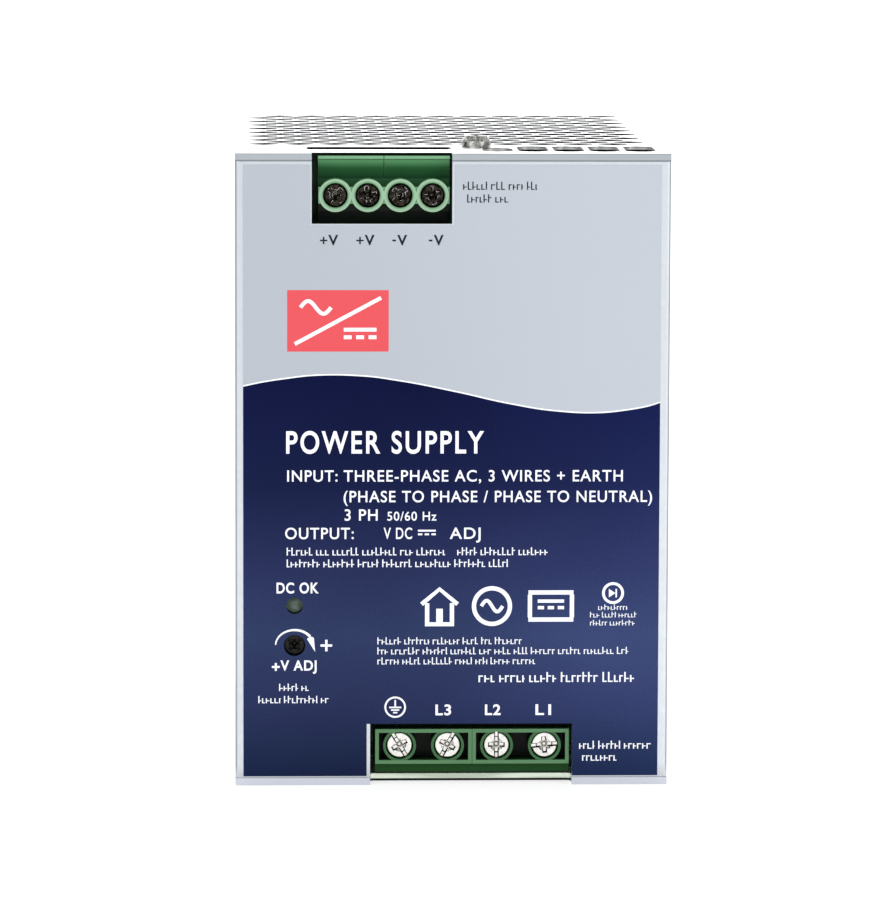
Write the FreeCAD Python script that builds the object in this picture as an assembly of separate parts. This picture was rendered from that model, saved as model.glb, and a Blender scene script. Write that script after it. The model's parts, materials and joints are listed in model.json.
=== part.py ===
import FreeCAD, Part
import math
import os

# DIN rail power supply in a sheet-metal case. Units are millimetres.
# X runs across the front (+X to the right), the front faces -Y and +Z is up.
# The origin is at the bottom centre of the whole part, rail clip included.
# "d" in the names and arguments below is the depth behind the label's outer face.

# ---- driving dimensions -------------------------------------------------------------
WIDTH = 85.5
HEIGHT = 125.2
CASE_DEPTH = 128.5
CLIP_REACH = 6.2
CHASSIS_T = 1.5
COVER_T = 1.2
LABEL_T = 0.2
BEND_R = 1.2
COVER_BEND_R = 0.7
SEAM = 0.05
FIT = 0.05
PAST = 1.0  # how far a cutter runs past the faces it opens

HALF_W = WIDTH / 2
Y_FRONT = -(CASE_DEPTH + CLIP_REACH) / 2
D_FACE = LABEL_T
Z_TOP_IN = HEIGHT - CHASSIS_T

# terminal windows and blocks
DC_WINDOW_X = (-27.7, -0.2)
DC_WINDOW_Z = 111.4
DC_CENTRE_X = -13.55
DC_PITCH = 6.35
DC_POLES = 4
DC_SCREW_Z = 116.9
AC_WINDOW_X = (-16.1, 23.9)
AC_WINDOW_Z = 12.3
AC_CENTRES_X = (-5.5, 13.73)
AC_PITCH = 9.5
AC_MODULE_W = 19.15
AC_SCREW_Z = 7.75
DC_NOTCH_D = 2.9
AC_NOTCH_D = 5.2
WIRE_SLOT_D = (11.9, 19.2)
DC_WIRE_SLOT_X = (-28.55, 0.0)
AC_WIRE_SLOT_X = (-17.0, 24.8)
PUNCH_R = 0.8
BLOCK_BACK_D = 21.5
COLLAR_R = 3.25

# terminal screw, cage and contact, measured from the screw's axis
HEAD_D = (1.8, 4.0)
SHANK_END_D = 11.9
CAGE_D = (11.0, 17.8)
CAGE_TRAVEL = 2.5
CAGE_HALF_H = 2.5
DC_TURNS = (45, -9, 43, -12)
AC_TURNS = (59, -62, 90, -5)
BAR_D = (12.1, 12.9)
BAR_HALF_W = 1.6
BAR_FOOT = (-4.7, -3.9)
TAIL_HALF_W = 0.6
TAIL_END_D = 25.0

# printed film on the front
LABEL_X = (-41.15, 40.85)
LABEL_Z = (1.85, 122.95)
DC_BORDER = (0.3, 0.45, 0.35)
AC_BORDER_LEFT = 0.7

# boards
FRONT_BOARD_X = (-39.0, 39.5)
FRONT_BOARD_D = (22.0, 23.6)
FRONT_BOARD_Z = (5.0, 123.2)
FRONT_POSTS = [(-31.5, 62.0), (36.5, 20.0), (36.5, 62.0), (36.5, 104.0)]
MAIN_BOARD_X = (-37.5, -35.9)
MAIN_BOARD_D = (24.4, 124.0)
MAIN_BOARD_Z = (7.0, 118.0)
MAIN_POSTS = [(28.0, 10.5), (28.0, 115.0), (121.0, 20.0), (121.0, 90.5)]
POST_FLATS = 5.0
BOARD_SCREW = {"head_r": 2.7, "head_h": 1.9}
BOARD_FACE = MAIN_BOARD_X[1]
EARTH_X = -26.0
EARTH_SCREW_D = 24.75

# light, trimmer and their board
LAMP_X = -31.05
LAMP_Z = 35.9
LAMP_R = 1.5
LAMP_HOLE_R = 1.65
LEAD_DX = 1.27
TRIM_Z = 28.0
TRIM_HOLE_R = 2.1
TRIM_PINS = ((-2.5, -2.5), (2.5, -2.5), (0.0, 2.5))
SIGNAL_BOARD_X = (-36.5, -25.5)
SIGNAL_BOARD_D = (9.0, 10.2)
SIGNAL_BOARD_Z = (22.5, 41.0)
HEADER_X = [LAMP_X + 2.0 * k for k in (-2, -1, 0, 1, 2)]
HEADER_Z = 39.5

# power stage: centres are (depth, height) on the main board, which faces +X
FUSE_DS = (31.5, 39.0, 46.5)
EMI_CHOKES = ((65.0, 27.0), (104.0, 27.0))
EMI_RING = ((6.0, 10.6), (3.0, 13.0))
OUT_CHOKE = (106.0, 102.3)
OUT_RING = ((6.5, 11.8), (3.2, 17.0))
X_CAP_D = (79.8, 90.2)
X_CAP_Z = (13.0, 23.0, 33.0)
Y_CAP_DS = (95.0, 104.0, 113.0)
BULK_CENTRES = [(d, z) for d in (38.8, 64.6) for z in (59.5, 85.5)]
OUT_CAP_DS = [33.5 + 11.2 * k for k in range(5)]
OUT_CAP_Z = 107.5
CONTROL_BOARD = ((BOARD_FACE, -4.0), (36.0, 76.0), (44.4, 45.6))
CHIPS = ((-30, 42, 6, 10), (-20, 42, 6, 10), (-28, 58, 8, 12), (-14, 60, 6, 8), (-10, 44, 5, 5))  # x, d, w, l
SINK_D = (79.2, 81.2)
SINK_Z = (48.0, 97.0)
PACKAGE_D = (81.2, 86.0)
RECTIFIER_DS = (91.0, 102.0, 113.0)
SECOND_SINK_D = (88.5, 122.0)
SECOND_SINK_Z = (80.5, 82.5)
TRAFO_D = (88.5, 122.5)
TRAFO_Z = (50.0, 78.0)
TRAFO_X = (-34.4, 4.0)
TRAFO_MID = ((TRAFO_D[0] + TRAFO_D[1]) / 2, (TRAFO_Z[0] + TRAFO_Z[1]) / 2)
CORE_LEG_R = 6.5
YOKE = 6.5
OUTPUT_BAR_Z = ((101.0, 104.5), (106.0, 109.5))
INPUT_WIRE_Z = (16.0, 20.0, 24.0)
WIRE_R = 0.7

# ventilation pattern of the top and bottom sheets
HEX_PITCH = 7.0
HEX_FLATS = 5.8
HEX_COLUMNS = 11
HEX_ROWS = 16
HEX_FIRST_D = 28.5
HEX_FIRST_X = -37.0
VENT_SLOT = (6.0, 16.0)
VENT_SLOT_D = 13.8
SHORT_SLOT = (6.0, 11.0)  # the one beside the top screw
SHORT_SLOT_D = 11.3
VENT_SLOT_X0 = 9.1
VENT_SLOT_PITCH = 7.05
VENT_SLOT_COUNT = 5

# case screws
TOP_SCREW = (5.15, 17.9)
M3_R = 1.45
M3_HOLE_R = 1.5
M3_HEAD_R = 2.95
M3_HEAD_H = 2.4
FLUSH_HEAD = (2.8, 1.3)
SCREW_LEN = 5.0
TOP_TAB_X = (1.4, 7.8)
SIDE_SCREWS = [(d, z) for d in (10.0, 118.0) for z in (9.0, HEIGHT - 9.0)]
TAB_T = 1.5
TAB_LEN = 14.0
TAB_HALF_W = 6.0

# rail clip, heights above the base and distances behind the case's back
RAIL_Z = HEIGHT / 2
RAIL_HALF = 17.5
PLATE_T = 2.0
PLATE_HALF_W = 20.0
PLATE_Z = (12.0, 88.0)
LIP_B = (3.5, 5.3)
LIP_GRIP = 3.0
HOOK_CLEAR = 0.5
LATCH_HALF_W = 9.0
LATCH_B = (2.1, 4.1)
LATCH_Z0 = 6.5
GUIDE_Z = ((14.5, 22.0), (29.5, 37.3))
SPRING_Z = (18.5, 34.0)
SPRING_B = 4.25
SPRING_R = 1.55
SPRING_WIRE_R = 0.3
SPRING_TURNS = 8
CLIP_SCREWS = [(x, z) for x in (-15.0, 15.0) for z in (55.0, 72.0)]

V = FreeCAD.Vector
X_AXIS = V(1, 0, 0)
Y_AXIS = V(0, 1, 0)
Z_AXIS = V(0, 0, 1)


# ---- helpers ------------------------------------------------------------------------
def y_at(d):
    """Y of a point at depth d behind the label's outer face."""
    return Y_FRONT + d


def behind(b):
    """Y of a point at distance b behind the case's back."""
    return Y_FRONT + CASE_DEPTH + b


def span_box(x, y, z):
    """Box from three (low, high) pairs in X, Y and Z."""
    return Part.makeBox(x[1] - x[0], y[1] - y[0], z[1] - z[0], V(x[0], y[0], z[0]))


def d_box(x, d, z):
    """Box whose Y range is given as depths."""
    return span_box(x, (y_at(d[0]), y_at(d[1])), z)


def b_box(x, b, z):
    """Box whose Y range is given behind the case's back."""
    return span_box(x, (behind(b[0]), behind(b[1])), z)


def rod_x(r, x, d, z):
    return Part.makeCylinder(r, x[1] - x[0], V(x[0], y_at(d), z), X_AXIS)


def rod_y(r, x, d, z):
    return Part.makeCylinder(r, d[1] - d[0], V(x, y_at(d[0]), z), Y_AXIS)


def rod_z(r, x, d, z):
    return Part.makeCylinder(r, z[1] - z[0], V(x, y_at(d), z[0]), Z_AXIS)


def join(shapes):
    """One solid from touching or overlapping shapes."""
    return shapes[0].multiFuse(shapes[1:]).removeSplitter()


def cut_all(shape, tools):
    return shape.cut(Part.makeCompound(tools))


def closed_face(points):
    return Part.Face(Part.makePolygon(points + points[:1]))


def d_profile(x, points):
    """Prism along X from (depth, height) points."""
    face = closed_face([V(x[0], y_at(d), z) for d, z in points])
    return face.extrude(V(x[1] - x[0], 0, 0))


def hexagon_wire(centre, flats, u, v):
    """Hexagon with two flats facing +u and -u."""
    corner = flats / math.sqrt(3)
    angles = [math.radians(30 + 60 * k) for k in range(6)]
    points = [centre + u * (corner * math.cos(a)) + v * (corner * math.sin(a)) for a in angles]
    return Part.makePolygon(points + points[:1])


def hex_post(centre, flats, direction, length):
    """Hexagonal post from centre along an axis direction."""
    u = Z_AXIS if abs(direction.z) < 0.5 else X_AXIS
    v = direction.cross(u)
    face = Part.Face(hexagon_wire(centre, flats, u, v))
    return face.extrude(direction * length)


def countersunk(place, direction, clearance):
    """Flush 90 degree screw body, or its hole with clearance above 0, from place along direction."""
    shank_r = M3_R + clearance
    cone = Part.makeCone(FLUSH_HEAD[0] + clearance, shank_r, FLUSH_HEAD[1], place, direction)
    return cone.fuse(Part.makeCylinder(shank_r, SCREW_LEN, place, direction))


def cross_recess(centre, direction, reach, depth, width=0.75, turn=0.0):
    """Cross recess cut from centre along direction, with its arms turned about it."""
    start = X_AXIS if abs(direction.x) < 0.5 else Y_AXIS
    u = FreeCAD.Rotation(direction, turn).multVec(start)
    v = direction.cross(u)
    arms = [arm(centre, direction, *axes, reach, width, depth) for axes in ((u, v), (v, u))]
    well = Part.makeCone(1.4 * width, 0.4 * width, 1.5 * depth, centre, direction)
    return arms + [well]


def arm(centre, direction, along, across, reach, width, depth):
    """Box centred on a recess, reach long either way and width wide."""
    corners = [centre + along * (s * reach) + across * (t * width / 2)
               for s, t in ((-1, -1), (1, -1), (1, 1), (-1, 1))]
    return closed_face(corners).extrude(direction * depth)


def flush_screw(place, direction):
    """Countersunk screw with a cross recess."""
    return cut_all(countersunk(place, direction, 0.0), cross_recess(place, direction, 1.6, 0.8))


def pan_screw(base, up, length, head_r=M3_HEAD_R, head_h=M3_HEAD_H):
    """Pan head screw: head rises along up from base, shank runs the other way."""
    rim_h = head_h * 0.55
    rim = Part.makeCylinder(head_r, rim_h, base, up)
    crown = Part.makeCone(head_r, head_r * 0.72, head_h - rim_h, base + up * rim_h, up)
    shank = Part.makeCylinder(M3_R, length, base, up * -1)
    body = rim.fuse([crown, shank]).removeSplitter()
    return cut_all(body, cross_recess(base + up * head_h, up * -1, 1.6, head_h * 0.5))


# ---- case ---------------------------------------------------------------------------
def honeycomb_wires(z):
    """Staggered rows of hexagonal vent holes, as wires at height z."""
    row_step = HEX_PITCH * math.sqrt(3) / 2
    wires = []
    for row in range(HEX_ROWS):
        shift = HEX_PITCH / 2 if row % 2 else 0.0
        for column in range(HEX_COLUMNS):
            x = HEX_FIRST_X + shift + column * HEX_PITCH
            centre = V(x, y_at(HEX_FIRST_D + row * row_step), z)
            wires.append(hexagon_wire(centre, HEX_FLATS, X_AXIS, Y_AXIS))
    return wires


def perforated_sheet(z0):
    """Flat sheet with the honeycomb, from z0 up by the sheet's thickness."""
    low, high = y_at(D_FACE), y_at(CASE_DEPTH)
    corners = [V(-HALF_W, low, z0), V(HALF_W, low, z0), V(HALF_W, high, z0), V(-HALF_W, high, z0)]
    outer = Part.makePolygon(corners + corners[:1])
    face = Part.makeFace([outer] + honeycomb_wires(z0), "Part::FaceMakerBullseye")
    return face.extrude(V(0, 0, CHASSIS_T))


def obround(x_centre, size, d_centre, z):
    """Slot hole through a horizontal sheet, rounded at both ends along the depth."""
    r = size[0] / 2
    half = size[1] / 2 - r
    body = d_box((x_centre - r, x_centre + r), (d_centre - half, d_centre + half), z)
    ends = [rod_z(r, x_centre, d_centre + s * half, z) for s in (-1, 1)]
    return body.fuse(ends)


def rounded_slot(x, d, z, r):
    """Rectangular hole through a horizontal sheet, with corner radius r."""
    block = d_box(x, d, z)
    edges = [e for e in block.Edges if abs(e.tangentAt(e.FirstParameter).z) > 0.9]
    return block.makeFillet(r, edges)


def side_tab(side, d, top):
    """Tab turned in from the top or bottom sheet, that takes one side screw."""
    outer = HALF_W - COVER_T - FIT
    x = sorted((side * outer, side * (outer - TAB_T)))
    z = (HEIGHT - TAB_LEN, HEIGHT - CHASSIS_T) if top else (CHASSIS_T, TAB_LEN)
    return d_box(x, (d - TAB_HALF_W, d + TAB_HALF_W), z)


def side_screw_places():
    """Where each side screw enters the case, and the direction it points."""
    return [(V(side * HALF_W, y_at(d), z), X_AXIS * -side) for side in (-1, 1) for d, z in SIDE_SCREWS]


def chassis():
    """One bent sheet: perforated top, plain back and perforated bottom, with screw tabs."""
    through_top = (Z_TOP_IN - PAST, HEIGHT + PAST)
    through_bottom = (-PAST, CHASSIS_T + PAST)
    top_cuts = [
        d_box(DC_WINDOW_X, (-PAST, DC_NOTCH_D), through_top),
        rounded_slot(DC_WIRE_SLOT_X, WIRE_SLOT_D, through_top, PUNCH_R),
        rod_z(M3_HOLE_R, TOP_SCREW[0], TOP_SCREW[1], through_top),
    ]
    top_cuts.append(obround(VENT_SLOT_X0, SHORT_SLOT, SHORT_SLOT_D, through_top))
    for k in range(1, VENT_SLOT_COUNT):
        top_cuts.append(obround(VENT_SLOT_X0 + k * VENT_SLOT_PITCH, VENT_SLOT, VENT_SLOT_D, through_top))
    bottom_cuts = [
        rounded_slot(AC_WINDOW_X, (-PAST - PUNCH_R, AC_NOTCH_D), through_bottom, PUNCH_R),
        rounded_slot(AC_WIRE_SLOT_X, WIRE_SLOT_D, through_bottom, PUNCH_R),
        rod_z(M3_HOLE_R, EARTH_X, EARTH_SCREW_D, through_bottom),
    ]
    top = cut_all(perforated_sheet(Z_TOP_IN), top_cuts)
    bottom = cut_all(perforated_sheet(0), bottom_cuts)
    back_d = (CASE_DEPTH - CHASSIS_T, CASE_DEPTH)
    back = d_box((-HALF_W, HALF_W), back_d, (0, HEIGHT))
    tabs = [side_tab(side, d, z > HEIGHT / 2) for side in (-1, 1) for d, z in SIDE_SCREWS]
    body = join([top, bottom, back] + tabs)
    body = body.makeFillet(BEND_R, [e for e in body.Edges if is_back_bend(e)])
    holes = [Part.makeCylinder(M3_HOLE_R, TAB_HALF_W, *place) for place in side_screw_places()]
    holes += [rod_y(M3_HOLE_R, x, (back_d[0] - PAST, back_d[1] + PAST), z) for x, z in CLIP_SCREWS]
    return cut_all(body, holes)


def is_back_bend(edge):
    """True for the two long outer edges where the back meets the top and the bottom."""
    box = edge.BoundBox
    at_back = box.YMin > y_at(CASE_DEPTH) - 0.01
    flat = box.ZLength < 0.01 and box.XLength > WIDTH - 1
    return at_back and flat and (box.ZMin < 0.01 or box.ZMin > HEIGHT - 0.01)


def front_cover():
    """Front sheet with both sides bent back from it, between the top and bottom sheets."""
    z = (CHASSIS_T + SEAM, Z_TOP_IN - SEAM)
    outer = d_box((-HALF_W, HALF_W), (D_FACE, CASE_DEPTH - CHASSIS_T - SEAM), z)
    upright = [e for e in outer.Edges if e.BoundBox.ZLength > HEIGHT / 2]
    outer = outer.makeFillet(COVER_BEND_R, [e for e in upright if e.BoundBox.YMax < y_at(D_FACE) + SEAM])
    inner_x = (-HALF_W + COVER_T, HALF_W - COVER_T)
    shell = outer.cut(d_box(inner_x, (D_FACE + COVER_T, CASE_DEPTH), (0, HEIGHT)))
    top_tab = d_box(TOP_TAB_X, (D_FACE, TOP_SCREW[1] + 4.0), (z[1] - COVER_T, z[1]))
    through = (-PAST, D_FACE + COVER_T + PAST)
    cuts = [
        d_box(DC_WINDOW_X, through, (DC_WINDOW_Z, HEIGHT)),
        d_box(AC_WINDOW_X, through, (0, AC_WINDOW_Z)),
        rod_y(LAMP_HOLE_R, LAMP_X, through, LAMP_Z),
        rod_y(TRIM_HOLE_R, LAMP_X, through, TRIM_Z),
        rod_z(M3_HOLE_R, TOP_SCREW[0], TOP_SCREW[1], (HEIGHT - SCREW_LEN, HEIGHT)),
    ]
    cuts += [countersunk(*place, FIT) for place in side_screw_places()]
    return cut_all(shell.fuse(top_tab), cuts).removeSplitter()


def side_screws():
    return Part.makeCompound([flush_screw(*place) for place in side_screw_places()])


def top_screw():
    return pan_screw(V(TOP_SCREW[0], y_at(TOP_SCREW[1]), HEIGHT), Z_AXIS, SCREW_LEN)


def label_film():
    """Printed film on the front sheet, cut out around the windows and the two small holes."""
    film = d_box(LABEL_X, (0, LABEL_T), LABEL_Z)
    through = (-PAST, PAST)
    left, right, below = DC_BORDER
    cuts = [
        d_box((DC_WINDOW_X[0] - left, DC_WINDOW_X[1] + right), through, (DC_WINDOW_Z - below, HEIGHT)),
        d_box((AC_WINDOW_X[0] - AC_BORDER_LEFT, AC_WINDOW_X[1]), through, (0, AC_WINDOW_Z)),
        rod_y(LAMP_HOLE_R + FIT, LAMP_X, through, LAMP_Z),
        rod_y(TRIM_HOLE_R + FIT, LAMP_X, through, TRIM_Z),
    ]
    return cut_all(film, cuts)


# ---- terminals ----------------------------------------------------------------------
def pole_positions(centre, pitch, count):
    return [centre + (k - (count - 1) / 2) * pitch for k in range(count)]


DC_X = pole_positions(DC_CENTRE_X, DC_PITCH, DC_POLES)
AC_X = [x for centre in AC_CENTRES_X for x in pole_positions(centre, AC_PITCH, 2)]
DC_TYPE = {"z": DC_SCREW_Z, "up": 1, "cage_w": 4.9, "wall": 0.75, "entry_w": 4.5, "entry_end": 8.0,
           "bore_r": 2.43, "head_r": 2.33, "shank_r": 1.45}
AC_TYPE = {"z": AC_SCREW_Z, "up": -1, "cage_w": 6.6, "wall": 0.9, "entry_w": 6.0, "entry_end": 7.0,
           "bore_r": 2.75, "head_r": 2.6, "shank_r": 1.7}


def z_span(kind, low, high):
    """Heights measured from the screw's axis towards the wire entry."""
    ends = sorted((kind["z"] + kind["up"] * low, kind["z"] + kind["up"] * high))
    return (ends[0], ends[1])


def pole_cavity(kind, x):
    """Room in a housing for one screw, its cage, the contact and the wire."""
    half = kind["cage_w"] / 2 + 0.15
    cage_room = d_box((x - half, x + half), (CAGE_D[0] - CAGE_TRAVEL - 0.8, CAGE_D[1] + 0.3),
                      z_span(kind, -CAGE_HALF_H - 0.2, CAGE_HALF_H + 0.2))
    entry_half = kind["entry_w"] / 2
    entry = d_box((x - entry_half, x + entry_half), (BAR_D[1] + FIT, CAGE_D[1] + FIT),
                  z_span(kind, 0, kind["entry_end"]))
    slot_x = (x - BAR_HALF_W - FIT, x + BAR_HALF_W + FIT)
    foot = (BAR_FOOT[0] - 0.1, BAR_FOOT[1] + 0.1)
    bar_slot = d_box(slot_x, (BAR_D[0] - 0.1, BAR_D[1] + 0.1), z_span(kind, foot[0], 0))
    tail_slot = d_box(slot_x, (BAR_D[0] - 0.1, BLOCK_BACK_D + PAST), z_span(kind, *foot))
    head_room = rod_y(kind["bore_r"], x, (-PAST, HEAD_D[1] + FIT), kind["z"])
    shank_room = rod_y(kind["shank_r"] + 0.1, x, (0, CAGE_D[0]), kind["z"])
    return [cage_room, entry, bar_slot, tail_slot, head_room, shank_room]


def dc_terminal_block():
    """Four-pole housing: hooded lip on top, collars around the screws, entries upward."""
    half = DC_POLES * DC_PITCH / 2 + 0.2
    x = (DC_CENTRE_X - half, DC_CENTRE_X + half)
    top = Z_TOP_IN - 0.15
    lip_top = HEIGHT - 0.6
    face_d = 4.4
    collar_d = 0.9
    body = d_profile(x, [
        (1.3, lip_top), (2.6, lip_top), (2.6, top), (BLOCK_BACK_D, top), (BLOCK_BACK_D, 109.0), (9.0, 109.0),
        (9.0, 113.6), (face_d, 113.6), (face_d, 120.0), (3.6, 121.4), (1.9, 123.75), (1.55, 123.9),
        (1.9, 123.9), (1.9, 124.05), (1.3, 124.05)])
    web = d_box((x[0] + SEAM, x[1] - SEAM), (collar_d + 0.25, face_d + 0.2),
                (DC_SCREW_Z - COLLAR_R / 2, DC_SCREW_Z + COLLAR_R / 2))
    collars = [rod_y(COLLAR_R, centre, (collar_d, face_d + 0.2), DC_SCREW_Z) for centre in DC_X]
    cuts = [d_profile((DC_CENTRE_X - 0.09, DC_CENTRE_X + 0.09), [
        (0.5, 120.3), (face_d + 0.2, 120.3), (3.95, 121.4), (2.25, 123.75), (2.25, lip_top), (0.5, lip_top)])]
    for centre in DC_X:
        mouth = V(centre, y_at(collar_d), DC_SCREW_Z)
        cuts.append(Part.makeCone(DC_TYPE["bore_r"] + 0.35, DC_TYPE["bore_r"], 0.35, mouth, Y_AXIS))
        cuts += pole_cavity(DC_TYPE, centre)
    return cut_all(join([body, web] + collars), cuts)


def ac_terminal_block(centre_x):
    """Two-pole housing: raised frame with cored pockets, collars, entries downward."""
    half = AC_MODULE_W / 2
    x = (centre_x - half, centre_x + half)
    floor = CHASSIS_T + 0.7
    top = 17.5
    frame_z = (4.1, 11.05)
    frame_t = 0.72
    shelf_d = 5.5
    pocket_d = 7.0
    body = d_profile(x, [
        (1.0, frame_z[0]), (1.0, frame_z[1]), (shelf_d, frame_z[1]), (shelf_d, top),
        (BLOCK_BACK_D, top), (BLOCK_BACK_D, floor), (2.3, floor), (1.9, frame_z[0])])
    pocket_z = (frame_z[0] + frame_t, frame_z[1] - frame_t)
    pocket = d_box((x[0] + frame_t, x[1] - frame_t), (0, pocket_d), pocket_z)
    band = d_box(x, (0, BLOCK_BACK_D), frame_z)
    centres = pole_positions(centre_x, AC_PITCH, 2)
    collar_d = (1.15, pocket_d + 0.5)
    collars = [rod_y(COLLAR_R, x_screw, collar_d, AC_SCREW_Z).common(band) for x_screw in centres]
    cuts = []
    for x_screw in centres:
        cuts += pole_cavity(AC_TYPE, x_screw)
    return cut_all(join([body.cut(pocket)] + collars), cuts)


def terminal_screw(kind, x, turn, recess):
    """Captive clamp screw, its axis along Y, its recess left at any angle."""
    head = rod_y(kind["head_r"], x, HEAD_D, kind["z"])
    front = [e for e in head.Edges if e.BoundBox.YMax < y_at(HEAD_D[0]) + FIT]
    head = head.makeFillet(0.35, front)
    shank = rod_y(kind["shank_r"], x, (HEAD_D[1], SHANK_END_D), kind["z"])
    body = head.fuse(shank).removeSplitter()
    return cut_all(body, recess(V(x, y_at(HEAD_D[0]), kind["z"]), turn))


def plain_cross(centre, turn):
    return cross_recess(centre, Y_AXIS, 1.75, 0.9, turn=turn)


def slotted_cross(centre, turn):
    """Wide cross with a narrower screwdriver slot right across the head."""
    u = FreeCAD.Rotation(Y_AXIS, turn).multVec(X_AXIS)
    slot = arm(centre, Y_AXIS, u, Y_AXIS.cross(u), AC_TYPE["head_r"] + PAST, 0.9, 0.6)
    return cross_recess(centre, Y_AXIS, 1.65, 0.9, width=0.95, turn=turn) + [slot]


def clamp_cage(kind, x):
    """Square tube around the contact; its front wall rides on the screw's thread."""
    half = kind["cage_w"] / 2
    wall = kind["wall"]
    front_t = 0.9
    z = z_span(kind, -CAGE_HALF_H, CAGE_HALF_H)
    outer = d_box((x - half, x + half), CAGE_D, z)
    inner = d_box((x - half + wall, x + half - wall), (CAGE_D[0] + front_t, CAGE_D[1] - front_t),
                  (z[0] - PAST, z[1] + PAST))
    thread = rod_y(kind["shank_r"] + FIT, x, (CAGE_D[0] - PAST, CAGE_D[0] + front_t + FIT), kind["z"])
    return outer.cut(inner).cut(thread)


def contact(kind, x):
    """Contact bar inside the cage, with its foot and solder tail through the front board."""
    wide = (x - BAR_HALF_W, x + BAR_HALF_W)
    bar = d_box(wide, BAR_D, z_span(kind, BAR_FOOT[0], 2.2))
    foot = d_box(wide, (BAR_D[0], BLOCK_BACK_D), z_span(kind, *BAR_FOOT))
    tail_x = (x - TAIL_HALF_W, x + TAIL_HALF_W)
    tail = d_box(tail_x, (BLOCK_BACK_D - PAST, TAIL_END_D), z_span(kind, *BAR_FOOT))
    return join([bar, foot, tail])


def terminal_contacts():
    bars = [contact(DC_TYPE, x) for x in DC_X] + [contact(AC_TYPE, x) for x in AC_X]
    return Part.makeCompound(bars)


# ---- indicator light and trimmer ----------------------------------------------------
def status_light():
    """3 mm light with its flange, leads and dome behind the front hole."""
    dome_d = 1.9
    flange_d = (5.2, 6.2)
    half_lead = 0.25
    body = rod_y(LAMP_R, LAMP_X, (dome_d, flange_d[0]), LAMP_Z)
    dome = Part.makeSphere(LAMP_R, V(LAMP_X, y_at(dome_d), LAMP_Z))
    flange = rod_y(LAMP_R + 0.4, LAMP_X, flange_d, LAMP_Z)
    leads = []
    for x in (LAMP_X - LEAD_DX, LAMP_X + LEAD_DX):
        leads.append(d_box((x - half_lead, x + half_lead), (flange_d[0], SIGNAL_BOARD_D[1] + PAST),
                           (LAMP_Z - half_lead, LAMP_Z + half_lead)))
    return join([body, dome, flange] + leads)


def trimmer_body():
    """Square preset resistor with a round well for the rotor, and three pins."""
    half = 3.3
    body = d_box((LAMP_X - half, LAMP_X + half), (4.2, SIGNAL_BOARD_D[0]), (TRIM_Z - half, TRIM_Z + half))
    well = rod_y(2.5, LAMP_X, (0, 6.0), TRIM_Z)
    pins = [rod_y(0.3, LAMP_X + dx, (SIGNAL_BOARD_D[0] - 0.5, SIGNAL_BOARD_D[1] + PAST), TRIM_Z + dz)
            for dx, dz in TRIM_PINS]
    return join([body.cut(well)] + pins)


def trimmer_rotor():
    """Rotor disc with a raised nose and a cross slot for the screwdriver."""
    nose_d = 1.7
    disc = rod_y(2.45, LAMP_X, (4.6, 5.95), TRIM_Z)
    nose = rod_y(1.9, LAMP_X, (nose_d, 4.7), TRIM_Z)
    slots = cross_recess(V(LAMP_X, y_at(nose_d), TRIM_Z), Y_AXIS, 1.5, 1.1, turn=45.0)
    return cut_all(join([disc, nose]), slots)


def signal_board():
    """Small board behind the front panel for the light and the trimmer."""
    board = d_box(SIGNAL_BOARD_X, SIGNAL_BOARD_D, SIGNAL_BOARD_Z)
    through = (SIGNAL_BOARD_D[0] - PAST, SIGNAL_BOARD_D[1] + PAST)
    holes = [rod_y(0.4, LAMP_X + dx, through, TRIM_Z + dz) for dx, dz in TRIM_PINS]
    holes += [rod_y(0.45, LAMP_X + s * LEAD_DX, through, LAMP_Z) for s in (-1, 1)]
    holes += [rod_y(0.4, x, through, HEADER_Z) for x in HEADER_X]
    return cut_all(board, holes)


def signal_header():
    """Row of pins in a plastic strip, from the signal board to the front board."""
    half = 1.1
    strip = d_box((HEADER_X[0] - half, HEADER_X[-1] + half), (SIGNAL_BOARD_D[1], 12.6),
                  (HEADER_Z - half, HEADER_Z + half))
    pin_d = (SIGNAL_BOARD_D[0] - 0.8, FRONT_BOARD_D[1] + 0.8)
    return join([strip] + [rod_y(0.3, x, pin_d, HEADER_Z) for x in HEADER_X])


# ---- boards -------------------------------------------------------------------------
def front_board():
    """Board parallel to the front, soldered to every terminal."""
    board = d_box(FRONT_BOARD_X, FRONT_BOARD_D, FRONT_BOARD_Z)
    through = (FRONT_BOARD_D[0] - PAST, FRONT_BOARD_D[1] + PAST)
    tail = (BAR_FOOT[0] + BAR_FOOT[1]) / 2
    holes = [rod_y(0.95, x, through, DC_SCREW_Z + tail) for x in DC_X]
    holes += [rod_y(0.95, x, through, AC_SCREW_Z - tail) for x in AC_X]
    holes += [rod_y(0.4, x, through, HEADER_Z) for x in HEADER_X]
    holes += [rod_y(M3_HOLE_R, x, through, z) for x, z in FRONT_POSTS]
    return cut_all(board, holes)


def board_posts():
    """Hexagonal standoffs of the front board and of the main board."""
    posts = []
    cover_d = D_FACE + COVER_T
    for x, z in FRONT_POSTS:
        post = hex_post(V(x, y_at(cover_d), z), POST_FLATS, Y_AXIS, FRONT_BOARD_D[0] - cover_d)
        posts.append(post.cut(rod_y(M3_HOLE_R, x, (15.0, FRONT_BOARD_D[1]), z)))
    wall = -HALF_W + COVER_T
    for d, z in MAIN_POSTS:
        post = hex_post(V(wall, y_at(d), z), POST_FLATS, X_AXIS, MAIN_BOARD_X[0] - wall)
        posts.append(post.cut(rod_x(M3_HOLE_R, (wall + 0.8, MAIN_BOARD_X[1]), d, z)))
    return Part.makeCompound(posts)


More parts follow.
